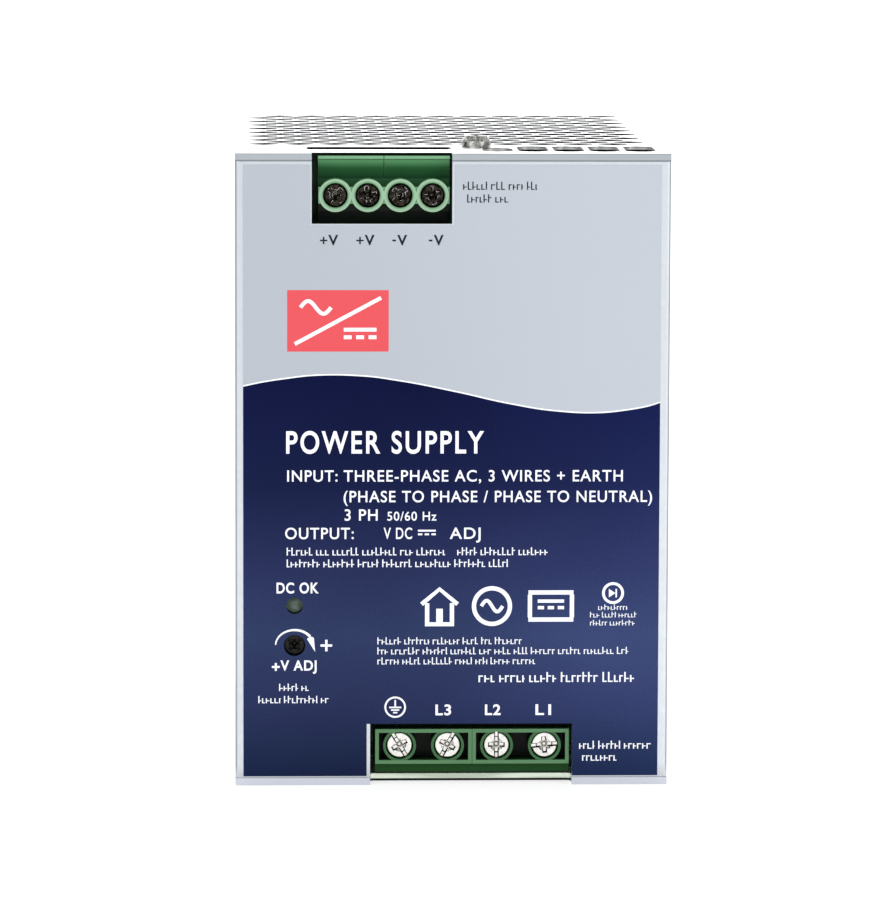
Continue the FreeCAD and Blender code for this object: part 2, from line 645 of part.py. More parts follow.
def main_board():
    """Board parallel to the left side, that carries the power stage."""
    board = d_box(MAIN_BOARD_X, MAIN_BOARD_D, MAIN_BOARD_Z)
    through = (MAIN_BOARD_X[0] - PAST, MAIN_BOARD_X[1] + PAST)
    return cut_all(board, [rod_x(M3_HOLE_R, through, d, z) for d, z in MAIN_POSTS])


def board_screws():
    """Pan head screws of both boards and of the earth bracket."""
    screws = [pan_screw(V(x, y_at(FRONT_BOARD_D[1]), z), Y_AXIS, 6.0, **BOARD_SCREW) for x, z in FRONT_POSTS]
    screws += [pan_screw(V(BOARD_FACE, y_at(d), z), X_AXIS, 4.4, **BOARD_SCREW) for d, z in MAIN_POSTS]
    earth = V(EARTH_X, y_at(EARTH_SCREW_D), CHASSIS_T + 1.0)
    screws.append(pan_screw(earth, Z_AXIS, 2.3, 2.4, 1.4))
    return Part.makeCompound(screws)


def insulation_sheet():
    """Thin sheet between the main board's solder side and the left wall."""
    sheet = d_box((-39.7, -39.3), (26.0, 123.5), (14.6, 111.0))
    holes = [rod_x(3.6, (-41.0, -38.0), d, z) for d, z in MAIN_POSTS]
    return cut_all(sheet, holes)


def control_board():
    """Upright daughter board between the input filter and the bulk capacitors."""
    return d_box(*CONTROL_BOARD)


def control_chips():
    """Controller packages and opto-couplers under the control board."""
    height = 1.5
    under = CONTROL_BOARD[2][0]
    chips = []
    for x, d, w, length in CHIPS:
        chips.append(d_box((x - w / 2, x + w / 2), (d - length / 2, d + length / 2), (under - height, under)))
    return Part.makeCompound(chips)


# ---- power stage --------------------------------------------------------------------
def input_fuses():
    """Three cartridge fuses with end caps and leads to the board."""
    x = BOARD_FACE + 4.6
    caps_z = ((15.0, 20.0), (36.0, 41.0))
    leads_z = (17.0, 39.0)
    fuses = []
    for d in FUSE_DS:
        barrel = rod_z(2.8, x, d, leads_z)
        caps = [rod_z(3.2, x, d, z) for z in caps_z]
        leads = [rod_x(0.5, (BOARD_FACE, x), d, z) for z in leads_z]
        fuses.append(join([barrel] + caps + leads))
    return Part.makeCompound(fuses)


def ring_profile(r, h, origin):
    """Rectangle between radii r and heights h, beside the X-parallel axis at origin."""
    corners = ((h[0], r[0]), (h[1], r[0]), (h[1], r[1]), (h[0], r[1]))
    return closed_face([origin + V(along, out, 0) for along, out in corners])


def toroid_core(d, z, r, h):
    origin = V(BOARD_FACE, y_at(d), z)
    return ring_profile(r, h, origin).revolve(origin, X_AXIS, 360)


def toroid_windings(d, z, r, h, wire, count, share):
    """Windings around a ring core; each takes its share of the circle."""
    origin = V(BOARD_FACE, y_at(d), z)
    gap = 0.15
    grown = gap + wire
    outer = ring_profile((r[0] - grown, r[1] + grown), (h[0] - grown, h[1] + grown), origin)
    inner = ring_profile((r[0] - gap, r[1] + gap), (h[0] - gap, h[1] + gap), origin)
    section = outer.cut(inner).Faces[0]
    sectors = []
    for k in range(count):
        sector = section.revolve(origin, X_AXIS, 360 / count * share)
        sector.rotate(origin, X_AXIS, 360 / count * k)
        sectors.append(sector)
    return sectors


def emi_choke_cores():
    return Part.makeCompound([toroid_core(d, z, *EMI_RING) for d, z in EMI_CHOKES])


def emi_choke_windings():
    sectors = []
    for d, z in EMI_CHOKES:
        sectors += toroid_windings(d, z, *EMI_RING, 1.4, 3, 0.8)
    return Part.makeCompound(sectors)


def output_choke_core():
    return toroid_core(*OUT_CHOKE, *OUT_RING)


def output_choke_winding():
    return Part.makeCompound(toroid_windings(*OUT_CHOKE, *OUT_RING, 2.0, 1, 0.93))


def far_edges(shape):
    """Edges that don't lie on the main board."""
    return [e for e in shape.Edges if e.BoundBox.XMin > BOARD_FACE + PAST]


def x_capacitors():
    """Boxed film capacitors across the input lines."""
    caps = []
    for z in X_CAP_Z:
        box = d_box((BOARD_FACE, BOARD_FACE + 18.0), X_CAP_D, (z, z + 8.6))
        caps.append(box.makeFillet(0.8, far_edges(box)))
    return Part.makeCompound(caps)


def y_capacitors():
    """Disc safety capacitors to earth, standing on their leads."""
    z = 44.0
    half_t = 1.8
    half_pitch = 2.5
    discs = []
    for d in Y_CAP_DS:
        disc = rod_y(4.0, BOARD_FACE + 6.0, (d - half_t, d + half_t), z)
        leads = [rod_x(0.35, (BOARD_FACE, BOARD_FACE + 5.0), d, z + s * half_pitch) for s in (-1, 1)]
        discs.append(join([disc] + leads))
    return Part.makeCompound(discs)


def can(r, length, d, z, edge_r):
    """Electrolytic can standing on the main board, its far rim rounded."""
    body = rod_x(r, (BOARD_FACE, BOARD_FACE + length), d, z)
    return body.makeFillet(edge_r, [e for e in far_edges(body) if e.Length > r])


def bulk_capacitors():
    """Four large electrolytic capacitors lying across the case, each with its crimp groove."""
    r = 12.5
    cans = []
    for d, z in BULK_CENTRES:
        groove = Part.makeTorus(r + 0.4, 0.9, V(BOARD_FACE + 4.0, y_at(d), z), X_AXIS)
        cans.append(can(r, 45.0, d, z, 1.2).cut(groove))
    return Part.makeCompound(cans)


def output_capacitors():
    return Part.makeCompound([can(5.0, 25.0, d, OUT_CAP_Z, 0.8) for d in OUT_CAP_DS])


def primary_heatsink():
    """Plate with fins, standing on the main board across the case."""
    plate = d_box((BOARD_FACE, 24.0), SINK_D, SINK_Z)
    fins = [d_box((x, x + 1.2), (SINK_D[0] - 1.8, SINK_D[0] + 0.1), SINK_Z) for x in (12.0, 15.0, 18.0, 21.0)]
    return join([plate] + fins)


def package(x, z):
    """Transistor package on the primary heatsink, with three legs down to the board."""
    middle = (PACKAGE_D[0] + PACKAGE_D[1]) / 2
    centre = (z[0] + z[1]) / 2
    leg_d = (middle - 0.3, middle + 0.3)
    legs = [d_box((BOARD_FACE, x[0] + 0.5), leg_d, (leg - 0.5, leg + 0.5))
            for leg in (centre - 4.0, centre, centre + 4.0)]
    return join([d_box(x, PACKAGE_D, z)] + legs)


def primary_transistors():
    return Part.makeCompound([package((-29.0, -9.0), z) for z in ((50.0, 65.0), (67.0, 82.0))])


def bridge_rectifier():
    return package((-29.0, -6.0), (83.6, 96.4))


def transformer_core():
    """Two E halves closed around a round centre leg."""
    limb_t = 4.5
    body = d_box(TRAFO_X, TRAFO_D, (TRAFO_Z[0] + 3, TRAFO_Z[1] - 3))
    window_x = (TRAFO_X[0] + YOKE, TRAFO_X[1] - YOKE)
    window_d = (TRAFO_D[0] + limb_t, TRAFO_D[1] - limb_t)
    window = d_box(window_x, window_d, (TRAFO_Z[0] - PAST, TRAFO_Z[1] + PAST))
    leg = rod_x(CORE_LEG_R, (window_x[0] - PAST, window_x[1] + PAST), *TRAFO_MID)
    return join([body.cut(window), leg])


def transformer_bobbin():
    """Flanged coil former on the centre leg."""
    flange_t = 1.2
    x = (TRAFO_X[0] + YOKE + 0.2, TRAFO_X[1] - YOKE - 0.2)
    tube = rod_x(CORE_LEG_R + 1.2, x, *TRAFO_MID)
    flanges = [rod_x(12.2, (a, a + flange_t), *TRAFO_MID) for a in (x[0], x[1] - flange_t)]
    bore = rod_x(CORE_LEG_R + 0.15, (x[0] - PAST, x[1] + PAST), *TRAFO_MID)
    return join([tube] + flanges).cut(bore)


def transformer_winding():
    """Taped winding stack between the bobbin's flanges."""
    x = (TRAFO_X[0] + YOKE + 1.5, TRAFO_X[1] - YOKE - 1.5)
    bore = rod_x(CORE_LEG_R + 1.3, (x[0] - PAST, x[1] + PAST), *TRAFO_MID)
    return rod_x(11.6, x, *TRAFO_MID).cut(bore)


def secondary_heatsink():
    top = SECOND_SINK_Z[1]
    plate = d_box((BOARD_FACE, 18.0), SECOND_SINK_D, SECOND_SINK_Z)
    fins = [d_box((x, x + 1.2), SECOND_SINK_D, (top - 0.1, top + 4.0)) for x in (6.0, 10.0, 14.0)]
    return join([plate] + fins)


def output_rectifiers():
    """Rectifier packages flat on the secondary heatsink."""
    parts = []
    top = SECOND_SINK_Z[1]
    for d in RECTIFIER_DS:
        body = d_box((-27.0, -11.0), (d - 0.5, d + 8.5), (top, top + 4.1))
        legs = [d_box((BOARD_FACE, -26.5), (d + dx - 0.4, d + dx + 0.4), (top + 1.7, top + 2.3))
                for dx in (1.5, 4.0, 6.5)]
        parts.append(join([body] + legs))
    return Part.makeCompound(parts)


def power_links():
    """Copper between the boards: two output bars and three stiff input wires."""
    links = []
    bar_d = (24.5, 25.5)
    wire_d = 25.4
    for z, x_end in zip(OUTPUT_BAR_Z, (DC_X[1] + 1.0, DC_X[3] + 1.0)):
        bar = d_box((BOARD_FACE, x_end), bar_d, z)
        foot = d_box((x_end - 5.0, x_end), (FRONT_BOARD_D[1], bar_d[0] + 0.1), z)
        links.append(join([bar, foot]))
    for z, x_end in zip(INPUT_WIRE_Z, AC_X[1:]):
        run = rod_x(WIRE_R, (BOARD_FACE, x_end), wire_d, z)
        drop = rod_y(WIRE_R, x_end, (FRONT_BOARD_D[1], wire_d), z)
        elbow = Part.makeSphere(WIRE_R, V(x_end, y_at(wire_d), z))
        links.append(join([run, drop, elbow]))
    return Part.makeCompound(links)


def earth_bracket():
    """Angle that joins the front board's earth track to the bottom sheet."""
    x = (EARTH_X - 4.0, EARTH_X + 4.0)
    top = 12.0
    upright = d_box(x, (20.6, 21.6), (CHASSIS_T, top))
    foot = d_box(x, (20.6, 28.0), (CHASSIS_T, CHASSIS_T + 1.0))
    hole = rod_z(M3_HOLE_R, EARTH_X, EARTH_SCREW_D, (0, 5))
    lug = d_box(x, (21.5, FRONT_BOARD_D[0]), (top - 4.0, top))
    return join([upright, foot, lug]).cut(hole)


# ---- rail clip ----------------------------------------------------------------------
def din_bracket():
    """Steel plate on the back: two upper hooks, guides for the latch and a spring stop."""
    root = PLATE_T - 0.5
    arm_z = (RAIL_Z + RAIL_HALF + HOOK_CLEAR, RAIL_Z + RAIL_HALF + HOOK_CLEAR + 1.8)
    cap_b = (LATCH_B[1] + 0.1, LATCH_B[1] + 1.2)
    outer = LATCH_HALF_W + 1.8
    pieces = [b_box((-PLATE_HALF_W, PLATE_HALF_W), (0, PLATE_T), PLATE_Z)]
    for side in (-1, 1):
        x = sorted((side * LATCH_HALF_W, side * PLATE_HALF_W))
        pieces.append(b_box(x, (root, LIP_B[1]), arm_z))
        pieces.append(b_box(x, LIP_B, (RAIL_Z + RAIL_HALF - LIP_GRIP, arm_z[1])))
        wall = sorted((side * (LATCH_HALF_W + 0.2), side * outer))
        cap = sorted((side * (LATCH_HALF_W - 2.0), side * outer))
        for z in GUIDE_Z:
            pieces.append(b_box(wall, (root, cap_b[1]), z))
            pieces.append(b_box(cap, cap_b, z))
    pieces.append(b_box((-2.4, 2.4), (root, CLIP_REACH), (SPRING_Z[0] - 1.5, SPRING_Z[0])))
    holes = [countersunk(place, Y_AXIS * -1, FIT) for place in clip_screw_places()]
    return cut_all(join(pieces), holes)


def clip_screw_places():
    return [V(x, behind(PLATE_T), z) for x, z in CLIP_SCREWS]


def clip_screws():
    return Part.makeCompound([flush_screw(place, Y_AXIS * -1) for place in clip_screw_places()])


def din_latch():
    """Sliding latch: hook for the rail's lower edge, spring window and screwdriver slot."""
    rail_edge = RAIL_Z - RAIL_HALF
    top = rail_edge - HOOK_CLEAR
    step_z = top - 2.0
    x = (-LATCH_HALF_W, LATCH_HALF_W)
    through = (0, LATCH_B[1] + 5.0)
    plate = b_box(x, LATCH_B, (LATCH_Z0, top))
    step = b_box(x, (LATCH_B[0], LIP_B[1]), (step_z, top))
    lip = b_box(x, LIP_B, (step_z, rail_edge + LIP_GRIP))
    foot = b_box((-6.0, 6.0), (LATCH_B[0], CLIP_REACH), (LATCH_Z0, LATCH_Z0 + 1.5))
    window = b_box((-3.0, 3.0), through, (SPRING_Z[0] - 1.6, SPRING_Z[1]))
    lug = b_box((-3.6, 3.6), (LATCH_B[0], CLIP_REACH), (SPRING_Z[1], SPRING_Z[1] + 1.6))
    slot = b_box((-3.5, 3.5), through, (9.0, 11.6))
    return join([plate, step, lip, foot]).cut(window).fuse(lug).removeSplitter().cut(slot)


def latch_spring():
    """Compression spring between the bracket's stop and the latch's lug."""
    length = SPRING_Z[1] - SPRING_Z[0] - 2 * (SPRING_WIRE_R + SEAM)
    helix = Part.makeHelix(length / SPRING_TURNS, length, SPRING_R)
    section = Part.Wire(Part.makeCircle(SPRING_WIRE_R, V(SPRING_R, 0, 0), Y_AXIS))
    coil = Part.Wire(helix.Edges).makePipeShell([section], True, True)
    coil.translate(V(0, behind(SPRING_B), SPRING_Z[0] + SPRING_WIRE_R + SEAM))
    return coil


# ---- all pieces ---------------------------------------------------------------------
def all_parts():
    parts = {
        "chassis": chassis(),
        "front_cover": front_cover(),
        "label_film": label_film(),
        "top_screw": top_screw(),
        "side_screws": side_screws(),
        "dc_terminal_block": dc_terminal_block(),
        "terminal_contacts": terminal_contacts(),
        "ac_terminal_block_left": ac_terminal_block(AC_CENTRES_X[0]),
        "ac_terminal_block_right": ac_terminal_block(AC_CENTRES_X[1]),
        "status_light": status_light(),
        "trimmer_body": trimmer_body(),
        "trimmer_rotor": trimmer_rotor(),
        "signal_board": signal_board(),
        "signal_header": signal_header(),
        "front_board": front_board(),
        "main_board": main_board(),
        "board_posts": board_posts(),
        "board_screws": board_screws(),
        "insulation_sheet": insulation_sheet(),
        "control_board": control_board(),
        "control_chips": control_chips(),
        "input_fuses": input_fuses(),
        "emi_choke_cores": emi_choke_cores(),
        "emi_choke_windings": emi_choke_windings(),
        "x_capacitors": x_capacitors(),
        "y_capacitors": y_capacitors(),
        "bulk_capacitors": bulk_capacitors(),
        "primary_heatsink": primary_heatsink(),
        "primary_transistors": primary_transistors(),
        "bridge_rectifier": bridge_rectifier(),
        "transformer_core": transformer_core(),
        "transformer_bobbin": transformer_bobbin(),
        "transformer_winding": transformer_winding(),
        "secondary_heatsink": secondary_heatsink(),
        "output_rectifiers": output_rectifiers(),
        "output_choke_core": output_choke_core(),
        "output_choke_winding": output_choke_winding(),
        "output_capacitors": output_capacitors(),
        "power_links": power_links(),
        "earth_bracket": earth_bracket(),
        "din_bracket": din_bracket(),
        "din_latch": din_latch(),
        "latch_spring": latch_spring(),
        "clip_screws": clip_screws(),
    }
    rows = ((DC_TYPE, "dc", DC_X, plain_cross, DC_TURNS), (AC_TYPE, "ac", AC_X, slotted_cross, AC_TURNS))
    for kind, name, xs, recess, turns in rows:
        for number, (x, turn) in enumerate(zip(xs, turns), 1):
            parts[f"{name}_screw_{number}"] = terminal_screw(kind, x, turn, recess)
            parts[f"{name}_cage_{number}"] = clamp_cage(kind, x)
    return parts


os.makedirs("parts", exist_ok=True)
for node, shape in all_parts().items():
    shape.exportStep(f"parts/{node}.step")
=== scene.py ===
import bpy
import json
import math
import random
from mathutils import Matrix, Vector


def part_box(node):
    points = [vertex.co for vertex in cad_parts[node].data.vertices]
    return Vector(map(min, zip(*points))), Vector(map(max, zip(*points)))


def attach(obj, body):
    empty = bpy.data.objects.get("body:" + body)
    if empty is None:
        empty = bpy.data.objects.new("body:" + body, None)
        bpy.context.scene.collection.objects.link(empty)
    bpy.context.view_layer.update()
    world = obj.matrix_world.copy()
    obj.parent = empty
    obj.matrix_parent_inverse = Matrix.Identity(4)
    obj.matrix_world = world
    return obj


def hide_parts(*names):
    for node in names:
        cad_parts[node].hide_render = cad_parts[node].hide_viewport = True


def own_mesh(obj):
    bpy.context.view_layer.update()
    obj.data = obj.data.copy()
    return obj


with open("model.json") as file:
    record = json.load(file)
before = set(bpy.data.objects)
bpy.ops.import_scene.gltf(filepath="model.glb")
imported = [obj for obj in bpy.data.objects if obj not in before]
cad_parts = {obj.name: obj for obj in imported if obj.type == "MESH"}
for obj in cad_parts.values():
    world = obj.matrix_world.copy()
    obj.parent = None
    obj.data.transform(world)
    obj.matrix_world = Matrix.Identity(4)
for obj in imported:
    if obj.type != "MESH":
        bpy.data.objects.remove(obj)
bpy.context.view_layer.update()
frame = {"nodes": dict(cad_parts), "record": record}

NODES = frame["nodes"]
MATERIALS = {}
MM = 0.001

# ---- places on the object, millimetres ------------------------------------------------
Y_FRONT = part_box("label_film")[0].y / MM
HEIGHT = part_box("chassis")[1].z / MM
HALF_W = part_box("front_cover")[1].x / MM
SHEET_T = 1.5
LAMP_X, LAMP_Z = -31.05, 35.9
TRIM_Z = 28.0
ROTOR_FACE = 1.7  # behind the front

# walls of the case's openings: distance behind the front
FLOOR_EDGE = (5.0, 5.4)
NOTCH_WALL = (2.7, 3.2)
VENT_ROW = (5.0, 23.0)
WIRE_SLOT_WALL = (19.0, 19.4)
HOLE_FIELD = (24.0, 126.5)

# ink: its height over the film, how far it reaches below that, and the font's capitals
PRINT_T = 0.02
INK_ROOT = 0.004
FONT_CAP = 0.70

# painted light across the front, brighter towards the right, runs from one of these to the other
ACROSS = (-44.0, 44.0)

# navy print from the bottom up, with a broad painted sheen across its middle
LABEL_TOP = 123.0
NAVY_WITH_SHEEN = ((0.0, (0.0060, 0.0115, 0.040)), (8.0, (0.0119, 0.0198, 0.0584)), (17.0, (0.0198, 0.0274, 0.0824)),
        (30.0, (0.0248, 0.0366, 0.098)), (44.0, (0.0170, 0.0235, 0.077)), (60.0, (0.0072, 0.0110, 0.047)),
        (80.0, (0.0038, 0.0062, 0.038)))

# height of the wave between the two label colours, across the front, and the range it stays in
WAVE_RANGE = (73.0, 83.0)
WAVE = ((-41.5, 79.35), (-33.0, 80.9), (-25.54, 81.62), (-18.0, 81.45), (-11.15, 80.59), (0.39, 78.37),
        (11.93, 75.81), (20.60, 74.48), (27.53, 74.12), (33.89, 74.63), (41.5, 76.45))


# ---- shader helpers -------------------------------------------------------------------
class Nodes:
    """Builds one material's node tree with few words, and keeps it in MATERIALS."""

    def __init__(self, name):
        self.material = bpy.data.materials.new(name)
        self.material.use_nodes = True
        self.tree = self.material.node_tree
        self.shader = self.tree.nodes["Principled BSDF"]
        self.coords = self.tree.nodes.new("ShaderNodeTexCoord").outputs["Object"]
        MATERIALS[name] = self.material

    def link(self, value, socket):
        if isinstance(value, bpy.types.NodeSocket):
            self.tree.links.new(value, socket)
        elif socket.type == "RGBA" and len(value) == 3:
            socket.default_value = (*value, 1.0)
        else:
            socket.default_value = value

    def set(self, **values):
        for key, value in values.items():
            self.link(value, self.shader.inputs[key.replace("_", " ")])

    def math(self, operation, a, b=0.0, clamp=False):
        node = self.tree.nodes.new("ShaderNodeMath")
        node.operation = operation
        node.use_clamp = clamp
        self.link(a, node.inputs[0])
        self.link(b, node.inputs[1])
        return node.outputs[0]

    def mix(self, factor, a, b):
        node = self.tree.nodes.new("ShaderNodeMix")
        node.data_type = "RGBA"
        self.link(factor, node.inputs[0])
        self.link(a, node.inputs[6])
        self.link(b, node.inputs[7])
        return node.outputs[2]

    def brighten(self, color, factor):
        node = self.tree.nodes.new("ShaderNodeVectorMath")
        node.operation = "SCALE"
        self.link(color, node.inputs[0])
        self.link(factor, node.inputs["Scale"])
        return node.outputs[0]

    def both(self, *masks):
        """1 only where every mask is 1."""
        result = masks[0]
        for mask in masks[1:]:
            result = self.math("MULTIPLY", result, mask)
        return result

    def scaled(self, scale):
        node = self.tree.nodes.new("ShaderNodeMapping")
        self.link(self.coords, node.inputs["Vector"])
        node.inputs["Scale"].default_value = scale
        return node.outputs[0]

    def noise(self, scale, detail=3.0, stretch=(1, 1, 1), rough=0.5):
        node = self.tree.nodes.new("ShaderNodeTexNoise")
        self.link(self.scaled(stretch), node.inputs["Vector"])
        node.inputs["Scale"].default_value = scale
        node.inputs["Detail"].default_value = detail
        node.inputs["Roughness"].default_value = rough
        return node.outputs["Fac"]

    def voronoi(self, scale, feature):
        node = self.tree.nodes.new("ShaderNodeTexVoronoi")
        node.feature = feature
        self.link(self.coords, node.inputs["Vector"])
        node.inputs["Scale"].default_value = scale
        return node.outputs[0]

    def ramp(self, value, low, high, to_low=0.0, to_high=1.0):
        node = self.tree.nodes.new("ShaderNodeMapRange")
        node.interpolation_type = "SMOOTHSTEP"
        for socket, number in zip(node.inputs, (value, low, high, to_low, to_high)):
            self.link(number, socket)
        return node.outputs[0]

    def between(self, value, low, high, soft):
        """1 inside low..high, 0 outside, with a soft edge."""
        rise = self.ramp(value, low - soft, low + soft)
        fall = self.ramp(value, high - soft, high + soft)
        return self.math("SUBTRACT", rise, fall, clamp=True)

    def stops(self, value, span, colors):
        """Colour along value from 0 to span, through (place, colour) stops."""
        node = self.tree.nodes.new("ShaderNodeValToRGB")
        self.link(self.math("DIVIDE", value, span, clamp=True), node.inputs[0])
        elements = node.color_ramp.elements
        while len(elements) < len(colors):
            elements.new(0.5)
        for element, (place, color) in zip(elements, colors):
            element.position = place / span
            element.color = (*color, 1.0)
        return node.outputs[0]

    def edges(self, radius, low=0.02, high=0.2):
        """1 along sharp edges, within about radius of them."""
        bevel = self.tree.nodes.new("ShaderNodeBevel")
        bevel.samples = 6
        bevel.inputs["Radius"].default_value = radius
        geometry = self.tree.nodes.new("ShaderNodeNewGeometry")
        dot = self.tree.nodes.new("ShaderNodeVectorMath")
        dot.operation = "DOT_PRODUCT"
        self.link(bevel.outputs[0], dot.inputs[0])
        self.link(geometry.outputs["Normal"], dot.inputs[1])
        return self.ramp(self.math("SUBTRACT", 1.0, dot.outputs["Value"]), low, high)

    def hollow(self, distance, low, high):
        """0 in creases and narrow recesses, 1 on open faces."""
        node = self.tree.nodes.new("ShaderNodeAmbientOcclusion")
        node.samples = 16
        node.only_local = True
        node.inputs["Distance"].default_value = distance
        return self.ramp(node.outputs["AO"], low, high)

    def side(self):
        """Distance to the right of the middle, in millimetres."""
        return self.math("DIVIDE", self.axis(0), MM)

    def depth(self):
        """Distance behind the front, in millimetres."""
        return self.math("SUBTRACT", self.math("DIVIDE", self.axis(1), MM), Y_FRONT)

    def height(self):
        """Height over the floor, in millimetres."""
        return self.math("DIVIDE", self.axis(2), MM)

    def facing(self, axis):
        """One component of the surface normal."""
        geometry = self.tree.nodes.new("ShaderNodeNewGeometry")
        split = self.tree.nodes.new("ShaderNodeSeparateXYZ")
        self.link(geometry.outputs["Normal"], split.inputs[0])
        return split.outputs[axis]

    def axis(self, index):
        node = self.tree.nodes.new("ShaderNodeSeparateXYZ")
        self.link(self.coords, node.inputs[0])
        return node.outputs[index]

    def normal(self, height=None, strength=0.2, distance=0.0001, bevel=0.0):
        """Fine relief over edges rounded by the bevel radius, in metres."""
        result = None
        if bevel:
            node = self.tree.nodes.new("ShaderNodeBevel")
            node.samples = 4
            node.inputs["Radius"].default_value = bevel
            result = node.outputs[0]
        if height is not None:
            node = self.tree.nodes.new("ShaderNodeBump")
            node.inputs["Strength"].default_value = strength
            node.inputs["Distance"].default_value = distance
            self.link(height, node.inputs["Height"])
            if result is not None:
                self.link(result, node.inputs["Normal"])
            result = node.outputs[0]
        self.link(result, self.shader.inputs["Normal"])


# ---- materials ------------------------------------------------------------------------
def sheet_metal(name, light, dark, stretch, marks=None):
    """Satin sheet: rolled grain, faint smudges and fine scratches; marks adds cut edges and bends, with
    painted light and shade.
    """
    n = Nodes(name)
    grain = n.noise(900, 4, stretch, 0.65)
    smudge = n.noise(22, 3)
    tone = n.math("ADD", n.math("MULTIPLY", grain, 0.55), n.math("MULTIPLY", smudge, 0.45))
    color = n.mix(n.ramp(tone, 0.32, 0.68), dark, light)
    if marks is not None:
        color = marks(n, color)
    n.set(Base_Color=color, Metallic=1.0, Roughness=n.ramp(tone, 0.25, 0.75, 0.42, 0.3))
    n.normal(grain, 0.12, 0.00004, 0.00018)


def front_cuts(n, color, depth, height, on_top):
    """Dull cut front edges with painted shade along the strip's top and bottom, and a painted green
    reflection of the input blocks on the floor edge under them.
    """
    # painted shade: the cut strip is darker along its top and bottom seams
    bright = n.between(height, HEIGHT - 1.27, HEIGHT - 0.14, 0.06)
    strip = n.mix(bright, (0.26, 0.30, 0.33), (0.44, 0.48, 0.51))
    front = n.mix(on_top, (0.58, 0.61, 0.68), strip)
    color = n.mix(n.ramp(depth, 0.26, 0.22), color, front)
    # painted reflection: pale green streaks of the input blocks on the floor edge under them
    painted_light_patches = n.ramp(n.noise(160, 3, (0.3, 1, 3)), 0.4, 0.6)
    green_reflection = n.mix(painted_light_patches, (0.54, 0.62, 0.50), (0.80, 0.88, 0.74))
    low = n.ramp(height, SHEET_T + 0.2, SHEET_T + 0.1)
    return n.mix(n.both(n.between(depth, *FLOOR_EDGE, 0.05), low), color, green_reflection)


def hole_walls(n, color, depth, below, on_top):
    """Hexagon walls in painted light and shade: pale on one side and grey on the other, painted shadow at the
    foot, less dark far back.
    """
    inside = n.both(n.between(depth, *HOLE_FIELD, 0.3), on_top)
    # painted shade on the walls that face one side
    wall = n.mix(n.ramp(n.facing(0), -0.1, -0.4), (0.80, 0.83, 0.83), (0.32, 0.34, 0.34))
    color = n.mix(n.both(n.ramp(below, 0.015, 0.05), inside), color, wall)
    # painted shadow at the foot of the walls, fading to grey far back
    foot = n.mix(n.ramp(depth, 70.0, 118.0), (0.004, 0.005, 0.006), (0.20, 0.21, 0.22))
    return n.mix(n.both(n.ramp(below, 0.05, 0.13), inside), color, foot)


def opening_walls(n, color, depth, below, on_top):
    """Painted shade on the walls of the output notch, the row of vents and the wire slot, with a grey band at
    the top of each vent.
    """
    left, far_left = n.ramp(n.side(), 3.0, 1.0), n.ramp(n.side(), 0.6, 0.2)
    # painted shade on the notch's wall beside the output block
    notch = n.both(n.between(depth, *NOTCH_WALL, 0.05), n.ramp(below, 0.03, 0.07), left, on_top)
    color = n.mix(notch, color, (0.006, 0.010, 0.007))
    vents = n.both(n.between(depth, *VENT_ROW, 0.2), on_top)
    # painted shade: a grey band at the top of each vent's wall, and a dark one at its foot
    color = n.mix(n.both(n.between(below, 0.02, 0.20, 0.02), vents), color, (0.30, 0.32, 0.32))
    color = n.mix(n.both(n.ramp(below, 0.62, 0.70), vents), color, (0.004, 0.004, 0.004))
    # painted shade on the far wall of the wire slot
    slot = n.both(n.between(depth, *WIRE_SLOT_WALL, 0.05), n.ramp(below, 0.02, 0.06), far_left, on_top)
    return n.mix(slot, color, (0.004, 0.004, 0.004))


def floor_shade(n, color, depth, height):
    """Painted shadow along the lower edge behind the front, and painted shade on the floor inside; the
    underside stays bright.
    """
    not_under = n.ramp(n.facing(2), -0.9, -0.5)
    # painted shadow along the lower edge
    low_edge = n.both(n.ramp(height, 0.5, 0.42), n.ramp(depth, 2.0, 2.6), not_under)
    color = n.mix(low_edge, color, (0.015, 0.016, 0.018))
    inner = n.both(n.ramp(height, SHEET_T + 0.2, SHEET_T + 0.1), n.ramp(depth, 14.0, 15.0), not_under)
    return n.mix(inner, color, (0.010, 0.011, 0.012))


def chassis_cuts_and_painted_light(n, color):
    """Cut edges in front, and painted light and shade in bands on every punched edge and low down."""
    depth, height = n.depth(), n.height()
    below = n.math("SUBTRACT", HEIGHT, height)
    on_top = n.ramp(height, HEIGHT / 2, HEIGHT / 2 + 1)
    color = front_cuts(n, color, depth, height, on_top)
    color = hole_walls(n, color, depth, below, on_top)
    color = opening_walls(n, color, depth, below, on_top)
    return floor_shade(n, color, depth, height)


def cover_painted_light_and_print(n, color):
    """Painted shade on the bends, greyer towards the lower edge, painted light brighter to the right, and
    blue print round the holes of the lamp and trimmer.
    """
    side, height = n.side(), n.height()
    # painted shade on the bends to the sides
    bend = n.both(n.ramp(n.math("ABSOLUTE", side), HALF_W - 0.55, HALF_W - 0.25), n.ramp(n.depth(), 1.2, 0.6))
    color = n.mix(bend, color, (0.34, 0.37, 0.40))
    color = n.mix(n.ramp(height, 4.6, 1.5), color, (0.56, 0.58, 0.62))
    # painted light: brighter towards the right
    color = n.brighten(color, n.ramp(side, *ACROSS, 0.90, 0.96))
    near = n.math("ABSOLUTE", n.math("SUBTRACT", side, LAMP_X))
    holes = n.both(n.ramp(near, 2.6, 2.5), n.between(height, TRIM_Z - 2.6, LAMP_Z + 2.2, 0.1))
    return n.mix(holes, color, (0.030, 0.042, 0.105))


